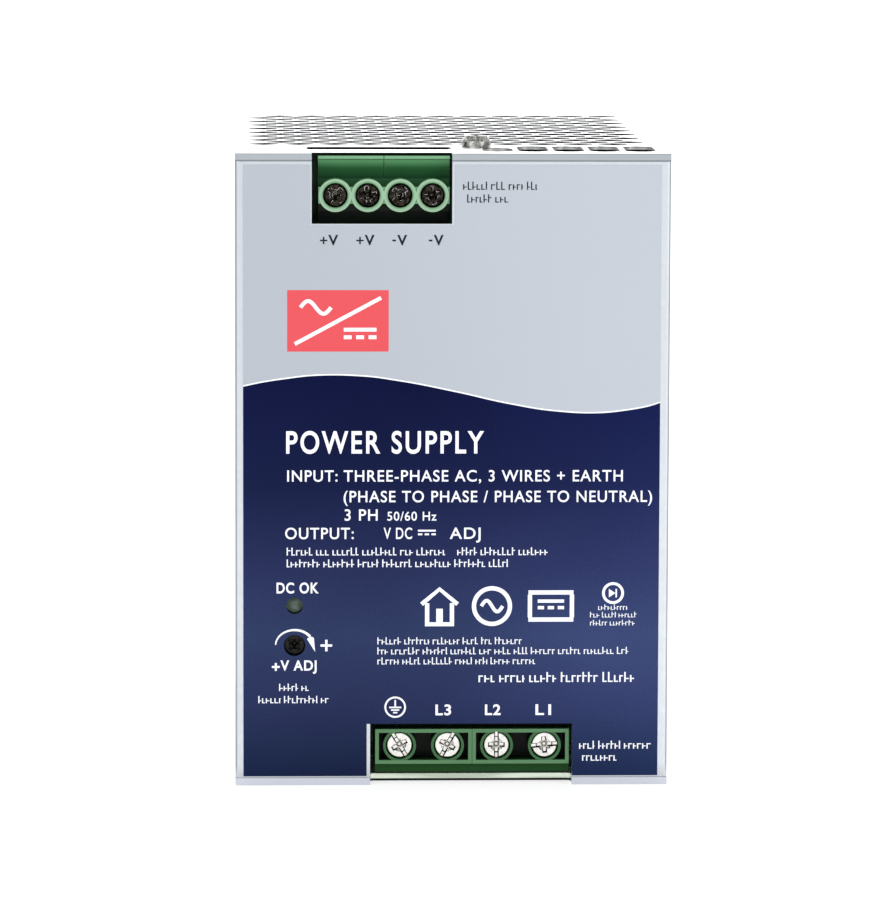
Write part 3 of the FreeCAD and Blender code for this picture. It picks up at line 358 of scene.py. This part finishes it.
def moulded(name, light, dark, rough, bevel=0.00012):
    """Moulded or cast surface: mottled tone, fine texture and rounded edges."""
    n = Nodes(name)
    cloud = n.noise(60, 3)
    fine = n.noise(2600, 3, rough=0.6)
    tone = n.math("ADD", n.math("MULTIPLY", cloud, 0.6), n.math("MULTIPLY", fine, 0.4))
    color = n.mix(n.ramp(tone, 0.35, 0.65), dark, light)
    n.set(Base_Color=color, Roughness=n.ramp(fine, 0.3, 0.7, rough - 0.05, rough + 0.06))
    n.normal(fine, 0.1, 0.00003, bevel)


def terminal_material(name, colors, edge, low_shade):
    """Moulded polyamide: pale rims, painted shade growing with depth and low down, painted highlights along
    the edges.
    """
    n = Nodes(name)
    cloud = n.noise(60, 3)
    fine = n.noise(2600, 3, rough=0.6)
    color = n.stops(n.depth(), GREEN_REACH, colors)
    # painted highlight along the edges, in the colour edge
    color = n.mix(n.math("MULTIPLY", n.edges(0.00009), 0.45), color, edge)
    shade = n.both(n.ramp(n.height(), *low_shade), n.ramp(n.depth(), 1.4, 1.8))
    color = n.mix(shade, color, (0.004, 0.012, 0.006))
    color = n.mix(n.ramp(cloud, 0.3, 0.7, 0.0, 0.12), color, (0.02, 0.05, 0.02))
    n.set(Base_Color=color, Roughness=n.ramp(fine, 0.3, 0.7, 0.30, 0.42))
    n.shader.inputs["Specular IOR Level"].default_value = 0.14
    n.normal(fine, 0.1, 0.00003, 0.0001)


def label_material():
    """Printed film: light grey over navy along a wave, with a pale line between them, painted light brighter
    to the right, and a painted sheen on the navy.
    """
    n = Nodes("label_print")
    x, z = n.axis(0), n.axis(2)
    curve = n.tree.nodes.new("ShaderNodeFloatCurve")
    low, high = WAVE_RANGE
    line = curve.mapping.curves[0]
    while len(line.points) < len(WAVE):
        line.points.new(0.5, 0.5)
    span = WAVE[-1][0] - WAVE[0][0]
    for point, (wx, wz) in zip(line.points, WAVE):
        point.location = ((wx - WAVE[0][0]) / span, (wz - low) / (high - low))
    curve.mapping.update()
    across = n.math("DIVIDE", n.math("SUBTRACT", x, WAVE[0][0] * MM), span * MM, clamp=True)
    n.link(across, curve.inputs["Value"])
    edge = n.math("ADD", n.math("MULTIPLY", curve.outputs[0], (high - low) * MM), low * MM)
    above = n.math("SUBTRACT", z, edge)
    mottle = n.noise(30, 3)
    fine = n.noise(2600, 2)
    grey = n.mix(mottle, (0.418, 0.452, 0.500), (0.430, 0.464, 0.514))
    # painted light: the grey brighter towards the right
    grey = n.brighten(grey, n.ramp(n.side(), *ACROSS, 0.90, 1.02))
    # painted sheen across the navy's middle, and painted light brighter towards the right
    navy = n.stops(n.height(), LABEL_TOP, NAVY_WITH_SHEEN)
    navy = n.brighten(navy, n.ramp(n.side(), -10.0, 48.0, 1.0, 1.5))
    navy = n.brighten(navy, n.ramp(n.math("ADD", fine, mottle), 0.7, 1.3, 0.9, 1.1))
    color = n.mix(n.ramp(above, -0.00003, 0.00003), navy, grey)
    color = n.mix(n.between(above, -0.00004, 0.00022, 0.00004), color, (0.86, 0.88, 0.93))
    n.set(Base_Color=color, Metallic=0.0, Roughness=n.ramp(fine, 0.3, 0.7, 0.40, 0.47))
    n.shader.inputs["Specular IOR Level"].default_value = 0.02
    n.normal(fine, 0.05, 0.00002)


def ink(name, color):
    """Screen-printed ink, slightly uneven."""
    n = Nodes(name)
    fine = n.noise(3200, 2)
    shade = tuple(0.9 * c for c in color)
    n.set(Base_Color=n.mix(fine, shade, color), Roughness=n.ramp(fine, 0.3, 0.7, 0.38, 0.46))
    n.shader.inputs["Specular IOR Level"].default_value = 0.15
    n.normal(fine, 0.05, 0.00002)


def screw_metal(name, light, dark, rough, crease=None, glint=None):
    """Turned and plated metal: ring marks, painted glints in the given colour on patches of the edges, and
    painted shade in creases.

    crease gives the reach and the two limits of Nodes.hollow, and the colour of the painted shade in the
    crease.
    """
    n = Nodes(name)
    rings = n.noise(1500, 3, (1, 0.2, 1))
    color = n.mix(n.ramp(rings, 0.35, 0.65), dark, light)
    if glint is not None:
        # painted highlight: glints on patches of the edges
        painted_light_patches = n.ramp(n.noise(900, 2), 0.47, 0.55)
        color = n.mix(n.both(n.edges(0.00018, 0.01, 0.10), painted_light_patches), color, glint)
    if crease is not None:
        # painted shade in creases and recesses
        reach, low, high, shade_color = crease
        color = n.mix(n.hollow(reach, low, high), shade_color, color)
    n.set(Base_Color=color, Metallic=1.0, Roughness=n.ramp(rings, 0.3, 0.7, rough - 0.05, rough + 0.08))
    n.normal(rings, 0.12, 0.00004, 0.00010)


def board_material():
    """Solder mask over tracks, with tinned pads."""
    n = Nodes("circuit_board")
    tracks = n.voronoi(170, "DISTANCE_TO_EDGE")
    pads = n.voronoi(240, "F1")
    fine = n.noise(1800, 2)
    mask = n.mix(n.ramp(tracks, 0.05, 0.09), (0.012, 0.085, 0.03), (0.02, 0.16, 0.05))
    color = n.mix(n.ramp(pads, 0.16, 0.13), mask, (0.62, 0.62, 0.6))
    n.set(Base_Color=color, Roughness=n.ramp(fine, 0.3, 0.7, 0.28, 0.36))
    n.normal(tracks, 0.15, 0.00003)


def copper_wire():
    """Enamelled wire, wound in regular turns."""
    n = Nodes("copper_wire")
    node = n.tree.nodes.new("ShaderNodeTexWave")
    node.wave_type = "BANDS"
    node.bands_direction = "X"
    n.link(n.coords, node.inputs["Vector"])
    node.inputs["Scale"].default_value = 320.0
    node.inputs["Distortion"].default_value = 0.6
    turns = node.outputs["Fac"]
    cloud = n.noise(90, 3)
    color = n.mix(n.both(turns, n.ramp(cloud, 0.2, 0.8, 0.75, 1.0)), (0.30, 0.09, 0.03), (0.78, 0.32, 0.12))
    n.set(Base_Color=color, Metallic=1.0, Roughness=0.3)
    n.normal(turns, 0.5, 0.00015)


def lamp_material():
    """Diffused resin of an unlit lamp: cloudy, a little glossy, a faint painted glow standing in for
    scattered light.
    """
    n = Nodes("lamp_resin")
    cloud = n.noise(700, 4)
    tint = n.mix(n.ramp(cloud, 0.35, 0.65), (0.026, 0.038, 0.030), (0.044, 0.058, 0.048))
    # painted glow: the unlit lamp gives off a little light of the resin's tint
    n.set(Base_Color=tint, Emission_Color=n.brighten(tint, 1.3), Roughness=0.45, Subsurface_Weight=0.25)
    n.shader.inputs["Emission Strength"].default_value = 1.0
    n.shader.inputs["Specular IOR Level"].default_value = 0.2
    n.shader.inputs["Subsurface Radius"].default_value = (0.4, 0.9, 0.5)
    n.shader.inputs["Subsurface Scale"].default_value = 0.0006
    n.normal(cloud, 0.06, 0.00003)


def rotor_material():
    """Dark mottled rotor, with painted shade making its cross slot evenly black."""
    n = Nodes("trimmer_rotor")
    fine = n.noise(2400, 3)
    depth = n.math("SUBTRACT", n.axis(1), (Y_FRONT + ROTOR_FACE) * MM)
    # painted shade in the cross slot
    slot = n.between(depth, 0.0006, 0.0019, 0.0001)
    dark = n.mix(n.ramp(fine, 0.4, 0.6), (0.002, 0.002, 0.002), (0.014, 0.013, 0.008))
    n.shader.inputs["Specular IOR Level"].default_value = 0.25
    n.set(Base_Color=n.mix(slot, dark, (0.002, 0.002, 0.002)), Roughness=n.ramp(fine, 0.3, 0.7, 0.38, 0.5))
    n.normal(fine, 0.1, 0.00003, 0.0001)


# terminal blocks: colour by distance behind the front, as far as GREEN_REACH, painted shade darkening the
# green deeper in
GREEN_REACH = 8.0
OUTPUT_GREENS_SHADED_BY_DEPTH = ((0.0, (0.275, 0.43, 0.285)), (1.02, (0.275, 0.43, 0.285)), (1.10, (0.17, 0.35, 0.20)),
                 (1.4, (0.145, 0.33, 0.175)), (1.9, (0.090, 0.27, 0.115)), (3.0, (0.024, 0.105, 0.037)),
                 (4.6, (0.014, 0.072, 0.025)))
# the input blocks: a darker copy of the same green, painted shade
INPUT_GREENS_SHADED = ((0.0, (0.090, 0.205, 0.097)), (1.06, (0.090, 0.205, 0.097)), (1.12, (0.045, 0.125, 0.05)),
                (1.6, (0.035, 0.11, 0.04)), (1.85, (0.004, 0.050, 0.004)), (2.6, (0.004, 0.038, 0.005)),
                (4.5, (0.002, 0.006, 0.003)))

# directions of rolled grain, as stretches of the noise
ALONG_DEPTH = (1, 0.04, 1)
UPRIGHT = (1, 1, 0.05)


def make_metals():
    """Case, clip, screws, cages, contacts, heatsinks and wire."""
    sheet_metal("case_sheet", (0.73, 0.765, 0.815), (0.66, 0.70, 0.75), ALONG_DEPTH, cover_painted_light_and_print)
    sheet_metal("chassis_sheet", (0.95, 0.95, 0.945), (0.87, 0.87, 0.87), ALONG_DEPTH, chassis_cuts_and_painted_light)
    sheet_metal("clip_steel", (0.80, 0.80, 0.79), (0.62, 0.62, 0.62), UPRIGHT)
    sheet_metal("heatsink_aluminium", (0.80, 0.80, 0.80), (0.62, 0.62, 0.62), UPRIGHT)
    # the top screw's nickel is a darker copy of the terminal screws' nickel: painted shade
    screw_metal("nickel_screw", (0.50, 0.50, 0.48), (0.20, 0.20, 0.19), 0.12,
                crease=(0.0010, 0.62, 0.92, (0.005, 0.005, 0.005)))
    screw_metal("terminal_nickel", (0.88, 0.87, 0.83), (0.70, 0.69, 0.65), 0.22,
                crease=(0.00034, 0.74, 0.97, (0.003, 0.003, 0.003)))
    screw_metal("dark_screw", (0.045, 0.038, 0.028), (0.007, 0.006, 0.005), 0.2,
                crease=(0.0004, 0.45, 0.75, (0.004, 0.004, 0.004)), glint=(1.0, 0.98, 0.96))
    screw_metal("cage_steel", (0.70, 0.70, 0.68), (0.5, 0.5, 0.49), 0.35)
    screw_metal("contact_brass", (0.82, 0.76, 0.60), (0.66, 0.58, 0.42), 0.32)
    screw_metal("spring_steel", (0.62, 0.62, 0.62), (0.42, 0.42, 0.42), 0.3)
    copper_wire()


def make_plastics():
    """Terminal blocks, label, lamp, trimmer, boards and components."""
    terminal_material("terminal_green", OUTPUT_GREENS_SHADED_BY_DEPTH, (0.30, 0.50, 0.33), (118.5, 116.0))
    # the input blocks take a darker copy of the same green: painted shade
    terminal_material("terminal_green_shaded", INPUT_GREENS_SHADED, (0.22, 0.42, 0.25), (2.6, 2.2))
    moulded("trimmer_case", (0.03, 0.09, 0.30), (0.02, 0.06, 0.22), 0.4)
    moulded("black_plastic", (0.035, 0.035, 0.037), (0.018, 0.018, 0.019), 0.5)
    moulded("insulation", (0.80, 0.79, 0.72), (0.70, 0.69, 0.62), 0.45, bevel=0.0)
    moulded("fuse_ceramic", (0.82, 0.81, 0.77), (0.70, 0.69, 0.65), 0.35)
    moulded("ferrite", (0.055, 0.055, 0.058), (0.028, 0.028, 0.03), 0.55, bevel=0.0003)
    moulded("film_capacitor", (0.72, 0.56, 0.08), (0.60, 0.45, 0.05), 0.38)
    moulded("disc_capacitor", (0.04, 0.16, 0.50), (0.03, 0.11, 0.38), 0.3)
    moulded("can_sleeve", (0.02, 0.022, 0.035), (0.012, 0.012, 0.02), 0.28)
    moulded("winding_tape", (0.82, 0.62, 0.10), (0.68, 0.48, 0.06), 0.35)
    label_material()
    lamp_material()
    rotor_material()
    board_material()


def make_inks():
    """The label's three print colours."""
    ink("ink_white", (0.86, 0.88, 0.92))
    ink("ink_dark", (0.010, 0.011, 0.018))
    ink("ink_red", (0.685, 0.082, 0.096))


def dress(obj, material):
    """Give the whole object one finish, by its name in MATERIALS."""
    obj.data.materials.clear()
    obj.data.materials.append(MATERIALS[material])


def dress_nodes():
    """Each CAD node takes the finish that its record slot names, or a closer variant of it."""
    special = {"chassis": "chassis_sheet"}
    special.update({f"ac_screw_{k}": "terminal_nickel" for k in range(1, 5)})
    # the input blocks take the darker copy of the terminal green: painted shade
    special.update({f"ac_terminal_block_{side}": "terminal_green_shaded" for side in ("left", "right")})
    for part in frame["record"]["subparts"]:
        node = part["node"]
        dress(NODES[node], special.get(node, part["material_slot"]))


# ---- latch spring ---------------------------------------------------------------------
def latch_coil():
    """The spring as an object of its own in spring steel, carried by the case; the CAD spring is hidden."""
    obj = bpy.data.objects.new("latch_coil", NODES["latch_spring"].data.copy())
    bpy.context.scene.collection.objects.link(obj)
    dress(obj, "spring_steel")
    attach(obj, "case")
    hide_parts("latch_spring")
    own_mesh(obj)


# ---- printed film ---------------------------------------------------------------------
def label_sheet():
    """The film with its face a print's thickness lower, so that the print ends flush with the frame."""
    source = NODES["label_film"].data
    mesh = source.copy()
    for vertex in mesh.vertices:
        if vertex.co.y < (Y_FRONT + 0.1) * MM:
            vertex.co.y = (Y_FRONT + PRINT_T) * MM
    obj = bpy.data.objects.new("label_sheet", mesh)
    bpy.context.scene.collection.objects.link(obj)
    dress(obj, "label_print")
    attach(obj, "case")
    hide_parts("label_film")


class Print:
    """One ink: closed flat prisms on the film, gathered into one piece."""

    def __init__(self, name, material, sunk=0.0):
        self.name = name
        self.material = material
        self.face = Y_FRONT + sunk
        self.verts = []
        self.faces = []

    def prism(self, outline):
        """Outline of (x, z) points, counter-clockwise seen from the front."""
        start = len(self.verts)
        count = len(outline)
        for y in (self.face, Y_FRONT + PRINT_T + INK_ROOT):
            self.verts += [(x * MM, y * MM, z * MM) for x, z in outline]
        self.faces.append([start + k for k in range(count)])
        self.faces.append([start + count + k for k in reversed(range(count))])
        for k in range(count):
            n = (k + 1) % count
            self.faces.append([start + n, start + k, start + count + k, start + count + n])

    def bar(self, x0, x1, z0, z1):
        self.prism([(x0, z0), (x1, z0), (x1, z1), (x0, z1)])

    def plus(self, x, z, arm, half):
        self.bar(x - arm, x + arm, z - half, z + half)
        self.bar(x - half, x + half, z + half, z + arm)
        self.bar(x - half, x + half, z - arm, z - half)

    def stroke(self, points, width):
        """Line of the given width through the points, with square ends."""
        left, right = [], []
        for k, (x, z) in enumerate(points):
            x0, z0 = points[max(k - 1, 0)]
            x1, z1 = points[min(k + 1, len(points) - 1)]
            length = math.hypot(x1 - x0, z1 - z0)
            nx, nz = -(z1 - z0) / length * width / 2, (x1 - x0) / length * width / 2
            left.append((x + nx, z + nz))
            right.append((x - nx, z - nz))
        self.prism(right + left[::-1])

    def arc(self, cx, cz, r, start, end, width, steps=40):
        """Arc from start to end degrees, counter-clockwise from +X."""
        angles = [math.radians(start + (end - start) * k / steps) for k in range(steps + 1)]
        inner = [(cx + (r - width / 2) * math.cos(a), cz + (r - width / 2) * math.sin(a)) for a in angles]
        outer = [(cx + (r + width / 2) * math.cos(a), cz + (r + width / 2) * math.sin(a)) for a in angles]
        self.prism(outer + inner[::-1])

    def ring(self, cx, cz, r, width):
        self.arc(cx, cz, r, 0, 180, width)
        self.arc(cx, cz, r, 180, 360, width)

    def text(self, words, x0, x1, z, cap, bold=0.01, spacing=1.12):
        """Lettering from x0 to x1 with capitals cap tall, its base line at z."""
        curve = bpy.data.curves.new("words", "FONT")
        curve.body = words
        curve.size = 1.0
        curve.extrude = 0.5
        curve.offset = bold
        curve.space_character = spacing
        obj = bpy.data.objects.new("words", curve)
        bpy.context.scene.collection.objects.link(obj)
        mesh = bpy.data.meshes.new_from_object(obj)
        across = [vertex.co.x for vertex in mesh.vertices]
        left, width = min(across), max(across) - min(across)
        start = len(self.verts)
        depth = PRINT_T + INK_ROOT
        scale = cap / (FONT_CAP + 2 * bold)
        for vertex in mesh.vertices:
            px, pz, out = vertex.co
            x = x0 + (px - left) / width * (x1 - x0)
            self.verts.append((x * MM, (Y_FRONT + depth * (0.5 - out)) * MM, (z + (pz + bold) * scale) * MM))
        self.faces += [[start + k for k in face.vertices] for face in mesh.polygons]
        bpy.data.objects.remove(obj)
        bpy.data.curves.remove(curve)
        bpy.data.meshes.remove(mesh)

    def lines(self, x0, x1, z, height, rng):
        """Row of small print too fine to read: ticks and dashes in runs as long as words."""
        tick = 0.15 * height
        x = x0
        while x < x1 - tick:
            end = x + rng.uniform(1.6, 4.6) * height
            if x1 - end < 1.6 * height:
                end = x1
            while x < end - tick:
                wide = min(rng.uniform(0.36, 0.52) * height, end - x)
                self.bar(x, x + tick, z, z + rng.choice((0.68, 0.68, 1.0)) * height)
                level = rng.choice((0.0, 0.28, 0.55)) * height
                self.bar(x + tick, x + wide, z + level, z + level + 0.8 * tick)
                x += wide + 0.12 * height
            x += 0.34 * height

    def finish(self):
        mesh = bpy.data.meshes.new(self.name)
        mesh.from_pydata(self.verts, [], self.faces)
        mesh.validate()
        mesh.update()
        obj = bpy.data.objects.new(self.name, mesh)
        bpy.context.scene.collection.objects.link(obj)
        dress(obj, self.material)
        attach(obj, "case")


# line width of the pictograms, and the middle of their row
HEAVY = 0.85
MARKS_Z = 35.8


def wave(p, x, z, half, rise, width):
    """One period of a sine, centred on x, z."""
    steps = 24
    points = []
    for k in range(steps + 1):
        t = 2 * k / steps - 1
        points.append((x + half * t, z - rise * math.sin(math.pi * t)))
    p.stroke(points, width)


def direct_current(p, x, z, half, width):
    """Bar over three dashes."""
    p.bar(x - half, x + half, z + width, z + 2 * width)
    for k in (-1, 0, 1):
        middle = x + k * half * 0.76
        p.bar(middle - half * 0.24, middle + half * 0.24, z - width, z)


def converter_symbol(red, white):
    """Plain converter pictogram: red panel, a diagonal, a wave above it, bar and dashes below it."""
    x0, x1, z0, z1 = -32.5, -12.6, 86.3, 98.4
    inset = 1.5
    red.bar(x0, x1, z0, z1)
    white.stroke([(x0 + inset, z0 + inset), (x1 - inset, z1 - inset)], 0.75)
    wave(white, x0 + 5.6, z1 - 3.4, 3.0, 1.25, 0.75)
    direct_current(white, x1 - 5.6, z0 + 3.2, 3.2, 0.75)


def house(p, x, z):
    """Outline of a house with a door, its base centred on x, z: indoor use."""
    p.stroke([(x - 3.55, z + 4.4), (x, z + 7.4), (x + 3.55, z + 4.4)], HEAVY)
    for side in (-2.45, 2.45):
        p.stroke([(x + side, z + 4.6), (x + side, z + 0.8)], HEAVY)
    p.bar(x - 2.87, x + 2.87, z, z + 0.8)
    p.bar(x - 0.65, x + 0.65, z + 0.8, z + 3.5)


def framed_current(p, x, z):
    """Direct-current sign in a frame."""
    for side in (-4.15, 4.15):
        p.stroke([(x + side, z - 2.275), (x + side, z + 2.275)], HEAVY)
    for side in (-2.7, 2.7):
        p.stroke([(x - 4.45, z + side), (x + 4.45, z + side)], HEAVY)
    direct_current(p, x, z, 2.6, 0.65)


def rectifier(p, x, z):
    """Arrow against a bar in a ring."""
    p.ring(x, z, 1.9, 0.55)
    p.prism([(x - 0.82, z - 0.85), (x + 0.48, z), (x - 0.82, z + 0.85)])
    p.bar(x + 0.48, x + 0.78, z - 0.85, z + 0.85)


def marks(p):
    """Row of plain pictograms: indoor use, supply wave, direct current, rectifier."""
    house(p, -2.45, 31.8)
    p.ring(7.9, MARKS_Z, 3.55, HEAVY)
    wave(p, 7.9, MARKS_Z, 2.1, 1.1, 0.7)
    framed_current(p, 19.55, MARKS_Z)
    rectifier(p, 31.82, 38.35)


# printed words: text, left and right end, base line and capitals' height, then boldness and spacing
WORDS = (
    ("POWER SUPPLY", -32.7, 6.2, 66.15, 4.55, 0.018, 1.2),
    ("INPUT:", -32.5, -22.6, 60.6, 2.3),
    ("THREE-PHASE AC, 3 WIRES + EARTH", -21.4, 33.6, 60.6, 2.3),
    ("(PHASE TO PHASE / PHASE TO NEUTRAL)", -21.4, 39.4, 56.5, 2.3),
    ("3 PH", -21.2, -14.7, 52.85, 2.3),
    ("50/60 Hz", -12.8, -3.1, 52.85, 1.8),
    ("OUTPUT:", -32.9, -19.4, 49.2, 2.3),
    ("V DC", -13.5, -7.9, 49.2, 2.3),
    ("ADJ", -0.5, 5.6, 49.2, 2.3),
    ("DC OK", -34.6, -26.3, 38.4, 2.2, 0.024),
    ("V ADJ", -33.85, -26.7, 23.0, 2.1, 0.024),
    ("L3", -3.2, -0.1, 14.0, 2.2, 0.024),
    ("L2", 6.6, 9.7, 14.0, 2.2, 0.024),
    ("L1", 16.6, 19.7, 14.0, 2.2, 0.024),
)

# rows of unreadable small print: left and right end, base line, height
WHITE_ROWS = (
    (-32.6, -1.4, 45.95, 1.55), (1.0, 19.2, 45.95, 1.55), (-32.6, 11.0, 43.6, 1.55),
    (-34.1, -27.9, 18.95, 1.45), (-38.2, -24.0, 16.5, 1.45),
    (-14.7, 13.8, 28.2, 1.4), (-14.7, 35.3, 26.2, 1.4), (-14.7, 16.5, 24.2, 1.4), (5.3, 36.1, 20.6, 2.0),
    (28.9, 34.7, 35.0, 1.1), (27.3, 36.6, 33.5, 1.1), (27.3, 36.2, 31.9, 1.1),
    (25.3, 39.6, 7.2, 1.6), (25.9, 33.0, 4.8, 1.6),
)
DARK_ROWS = ((1.9, 16.4, 118.1, 1.6), (2.7, 11.0, 115.6, 1.6))

# output terminals: left end of the V, and whether it is a plus
POLES = ((-24.32, True), (-17.2, True), (-10.82, False), (-3.67, False))
POLE_Z = 107.2
POLE_CAP = 2.1


def dark_print(p):
    """Poles of the output terminals, and the small print beside them."""
    middle = POLE_Z + POLE_CAP / 2 - 0.1
    for x, positive in POLES:
        p.text("V", x - 0.15, x + 1.8, POLE_Z, POLE_CAP, 0.026)
        if positive:
            p.plus(x - 1.05, middle, 0.72, 0.15)
        else:
            p.bar(x - 1.1, x - 0.4, middle - 0.17, middle + 0.17)
    rng = random.Random(11)
    for row in DARK_ROWS:
        p.lines(*row, rng)


def white_print(p):
    """Words, small print and pictograms on the navy part."""
    for words in WORDS:
        p.text(*words)
    rng = random.Random(5)
    for row in WHITE_ROWS:
        p.lines(*row, rng)
    direct_current(p, -5.0, 50.3, 1.75, 0.36)
    p.plus(-34.75, 23.75, 0.78, 0.2)
    marks(p)
    earth_symbol(p, -11.16, 15.64)
    turn_arrow(p)


def earth_symbol(p, x, z):
    """Protective earth: a stem over three shrinking bars, in a ring."""
    p.ring(x, z, 1.95, 0.36)
    p.bar(x - 0.16, x + 0.16, z + 0.05, z + 1.45)
    for k, half in enumerate((1.2, 0.82, 0.42)):
        level = z - 0.05 - 0.52 * k
        p.bar(x - half, x + half, level - 0.15, level + 0.15)


def turn_arrow(p):
    """Flat arc over the trimmer that widens into a slender arrow head, and a plus sign."""
    start, end, steps = 177.0, 36.0, 40
    outer, inner = [], []
    for k in range(steps + 1):
        a = math.radians(start + (end - start) * k / steps)
        half = 0.13 + 0.13 * k / steps
        outer.append((LAMP_X + (3.75 + half) * math.cos(a), TRIM_Z + (3.1 + half) * math.sin(a)))
        inner.append((LAMP_X + (3.75 - half) * math.cos(a), TRIM_Z + (3.1 - half) * math.sin(a)))
    p.prism(inner + outer[::-1])
    p.prism([(LAMP_X + 2.45, TRIM_Z + 1.3), (LAMP_X + 4.06, TRIM_Z - 1.24), (LAMP_X + 3.8, TRIM_Z + 1.55),
             (LAMP_X + 3.1, TRIM_Z + 1.85)])
    p.plus(-24.78, TRIM_Z, 1.15, 0.23)


# ---- studio ---------------------------------------------------------------------------
# viewpoint in metres, and the view's turn to the right, downward and about its own axis, in degrees
VIEWPOINT = (-0.04009, -1.16144, 0.19899)
YAW, PITCH, ROLL = 2.042, 6.903, 0.19
LENS = 223.3

# soft boxes: place, the point they aim at, width and height, power
MIDDLE = (0, 0, 0.06)
SOFTBOXES = {
    "key": ((-0.75, -1.1, 0.95), MIDDLE, (0.7, 0.7), 9.0),
    "fill": ((0.95, -0.9, 0.5), MIDDLE, (0.6, 0.8), 4.0),
    "overhead": ((0.0, 0.25, 1.1), MIDDLE, (0.9, 0.6), 8.0),
    "backdrop": ((0.0, 0.9, 1.5), (0.0, 2.2, 0.5), (3.0, 0.6), 60.0),
}


def camera():
    """Long lens a metre in front, a little to the left and above."""
    yaw, pitch, roll = math.radians(YAW), math.radians(PITCH), math.radians(ROLL)
    forward = Vector((math.sin(yaw) * math.cos(pitch), math.cos(yaw) * math.cos(pitch), -math.sin(pitch)))
    level = Vector((math.cos(yaw), -math.sin(yaw), 0))
    above = level.cross(forward)
    right = level * math.cos(roll) + above * math.sin(roll)
    up = above * math.cos(roll) - level * math.sin(roll)
    data = bpy.data.cameras.new("camera")
    data.sensor_width = 36.0
    data.lens = LENS
    data.clip_start = 0.05
    obj = bpy.data.objects.new("camera", data)
    rotation = Matrix((right, up, -forward)).transposed().to_4x4()
    obj.matrix_world = Matrix.Translation(VIEWPOINT) @ rotation
    bpy.context.scene.collection.objects.link(obj)
    bpy.context.scene.camera = obj


def softbox(name, place, aim, size, power):
    data = bpy.data.lights.new(name, "AREA")
    data.shape = "RECTANGLE"
    data.size, data.size_y = size
    data.energy = power
    obj = bpy.data.objects.new(name, data)
    obj.location = place
    obj.rotation_euler = (Vector(aim) - Vector(place)).to_track_quat("-Z", "Y").to_euler()
    bpy.context.scene.collection.objects.link(obj)


def studio():
    """Even white surroundings and the soft boxes."""
    world = bpy.data.worlds.new("studio")
    world.use_nodes = True
    background = world.node_tree.nodes["Background"]
    background.inputs["Color"].default_value = (1.0, 1.0, 1.0, 1.0)
    background.inputs["Strength"].default_value = 0.75
    bpy.context.scene.world = world
    bpy.context.scene.view_settings.view_transform = "Standard"
    for name, setting in SOFTBOXES.items():
        softbox(name, *setting)


def floor():
    """Pale sweep: flat in front, curving up far behind."""
    half, front, back, rise, radius, steps = 4.0, -3.0, 2.2, 3.0, 1.0, 12
    profile = [(front, 0.0), (back - radius, 0.0)]
    for k in range(1, steps + 1):
        a = math.pi / 2 * k / steps
        profile.append((back - radius + radius * math.sin(a), radius - radius * math.cos(a)))
    profile.append((back, rise))
    verts = [(x, y, z) for y, z in profile for x in (-half, half)]
    faces = [[2 * k, 2 * k + 1, 2 * k + 3, 2 * k + 2] for k in range(len(profile) - 1)]
    mesh = bpy.data.meshes.new("floor")
    mesh.from_pydata(verts, [], faces)
    for face in mesh.polygons:
        face.use_smooth = True
    obj = bpy.data.objects.new("floor", mesh)
    bpy.context.scene.collection.objects.link(obj)
    n = Nodes("pale_floor")
    cloud = n.noise(3, 3)
    n.set(Base_Color=n.mix(cloud, (0.38, 0.38, 0.38), (0.40, 0.40, 0.40)), Roughness=0.7)
    n.shader.inputs["Emission Color"].default_value = (1.0, 1.0, 1.0, 1.0)
    n.shader.inputs["Emission Strength"].default_value = 0.68
    obj.data.materials.append(n.material)


# ---- build ----------------------------------------------------------------------------
make_metals()
make_plastics()
make_inks()
dress_nodes()
latch_coil()
label_sheet()
white = Print("print_white", "ink_white")
dark = Print("print_dark", "ink_dark")
red = Print("print_red", "ink_red", 0.008)
white_print(white)
dark_print(dark)
converter_symbol(red, white)
for layer in (white, dark, red):
    layer.finish()
camera()
studio()
floor()
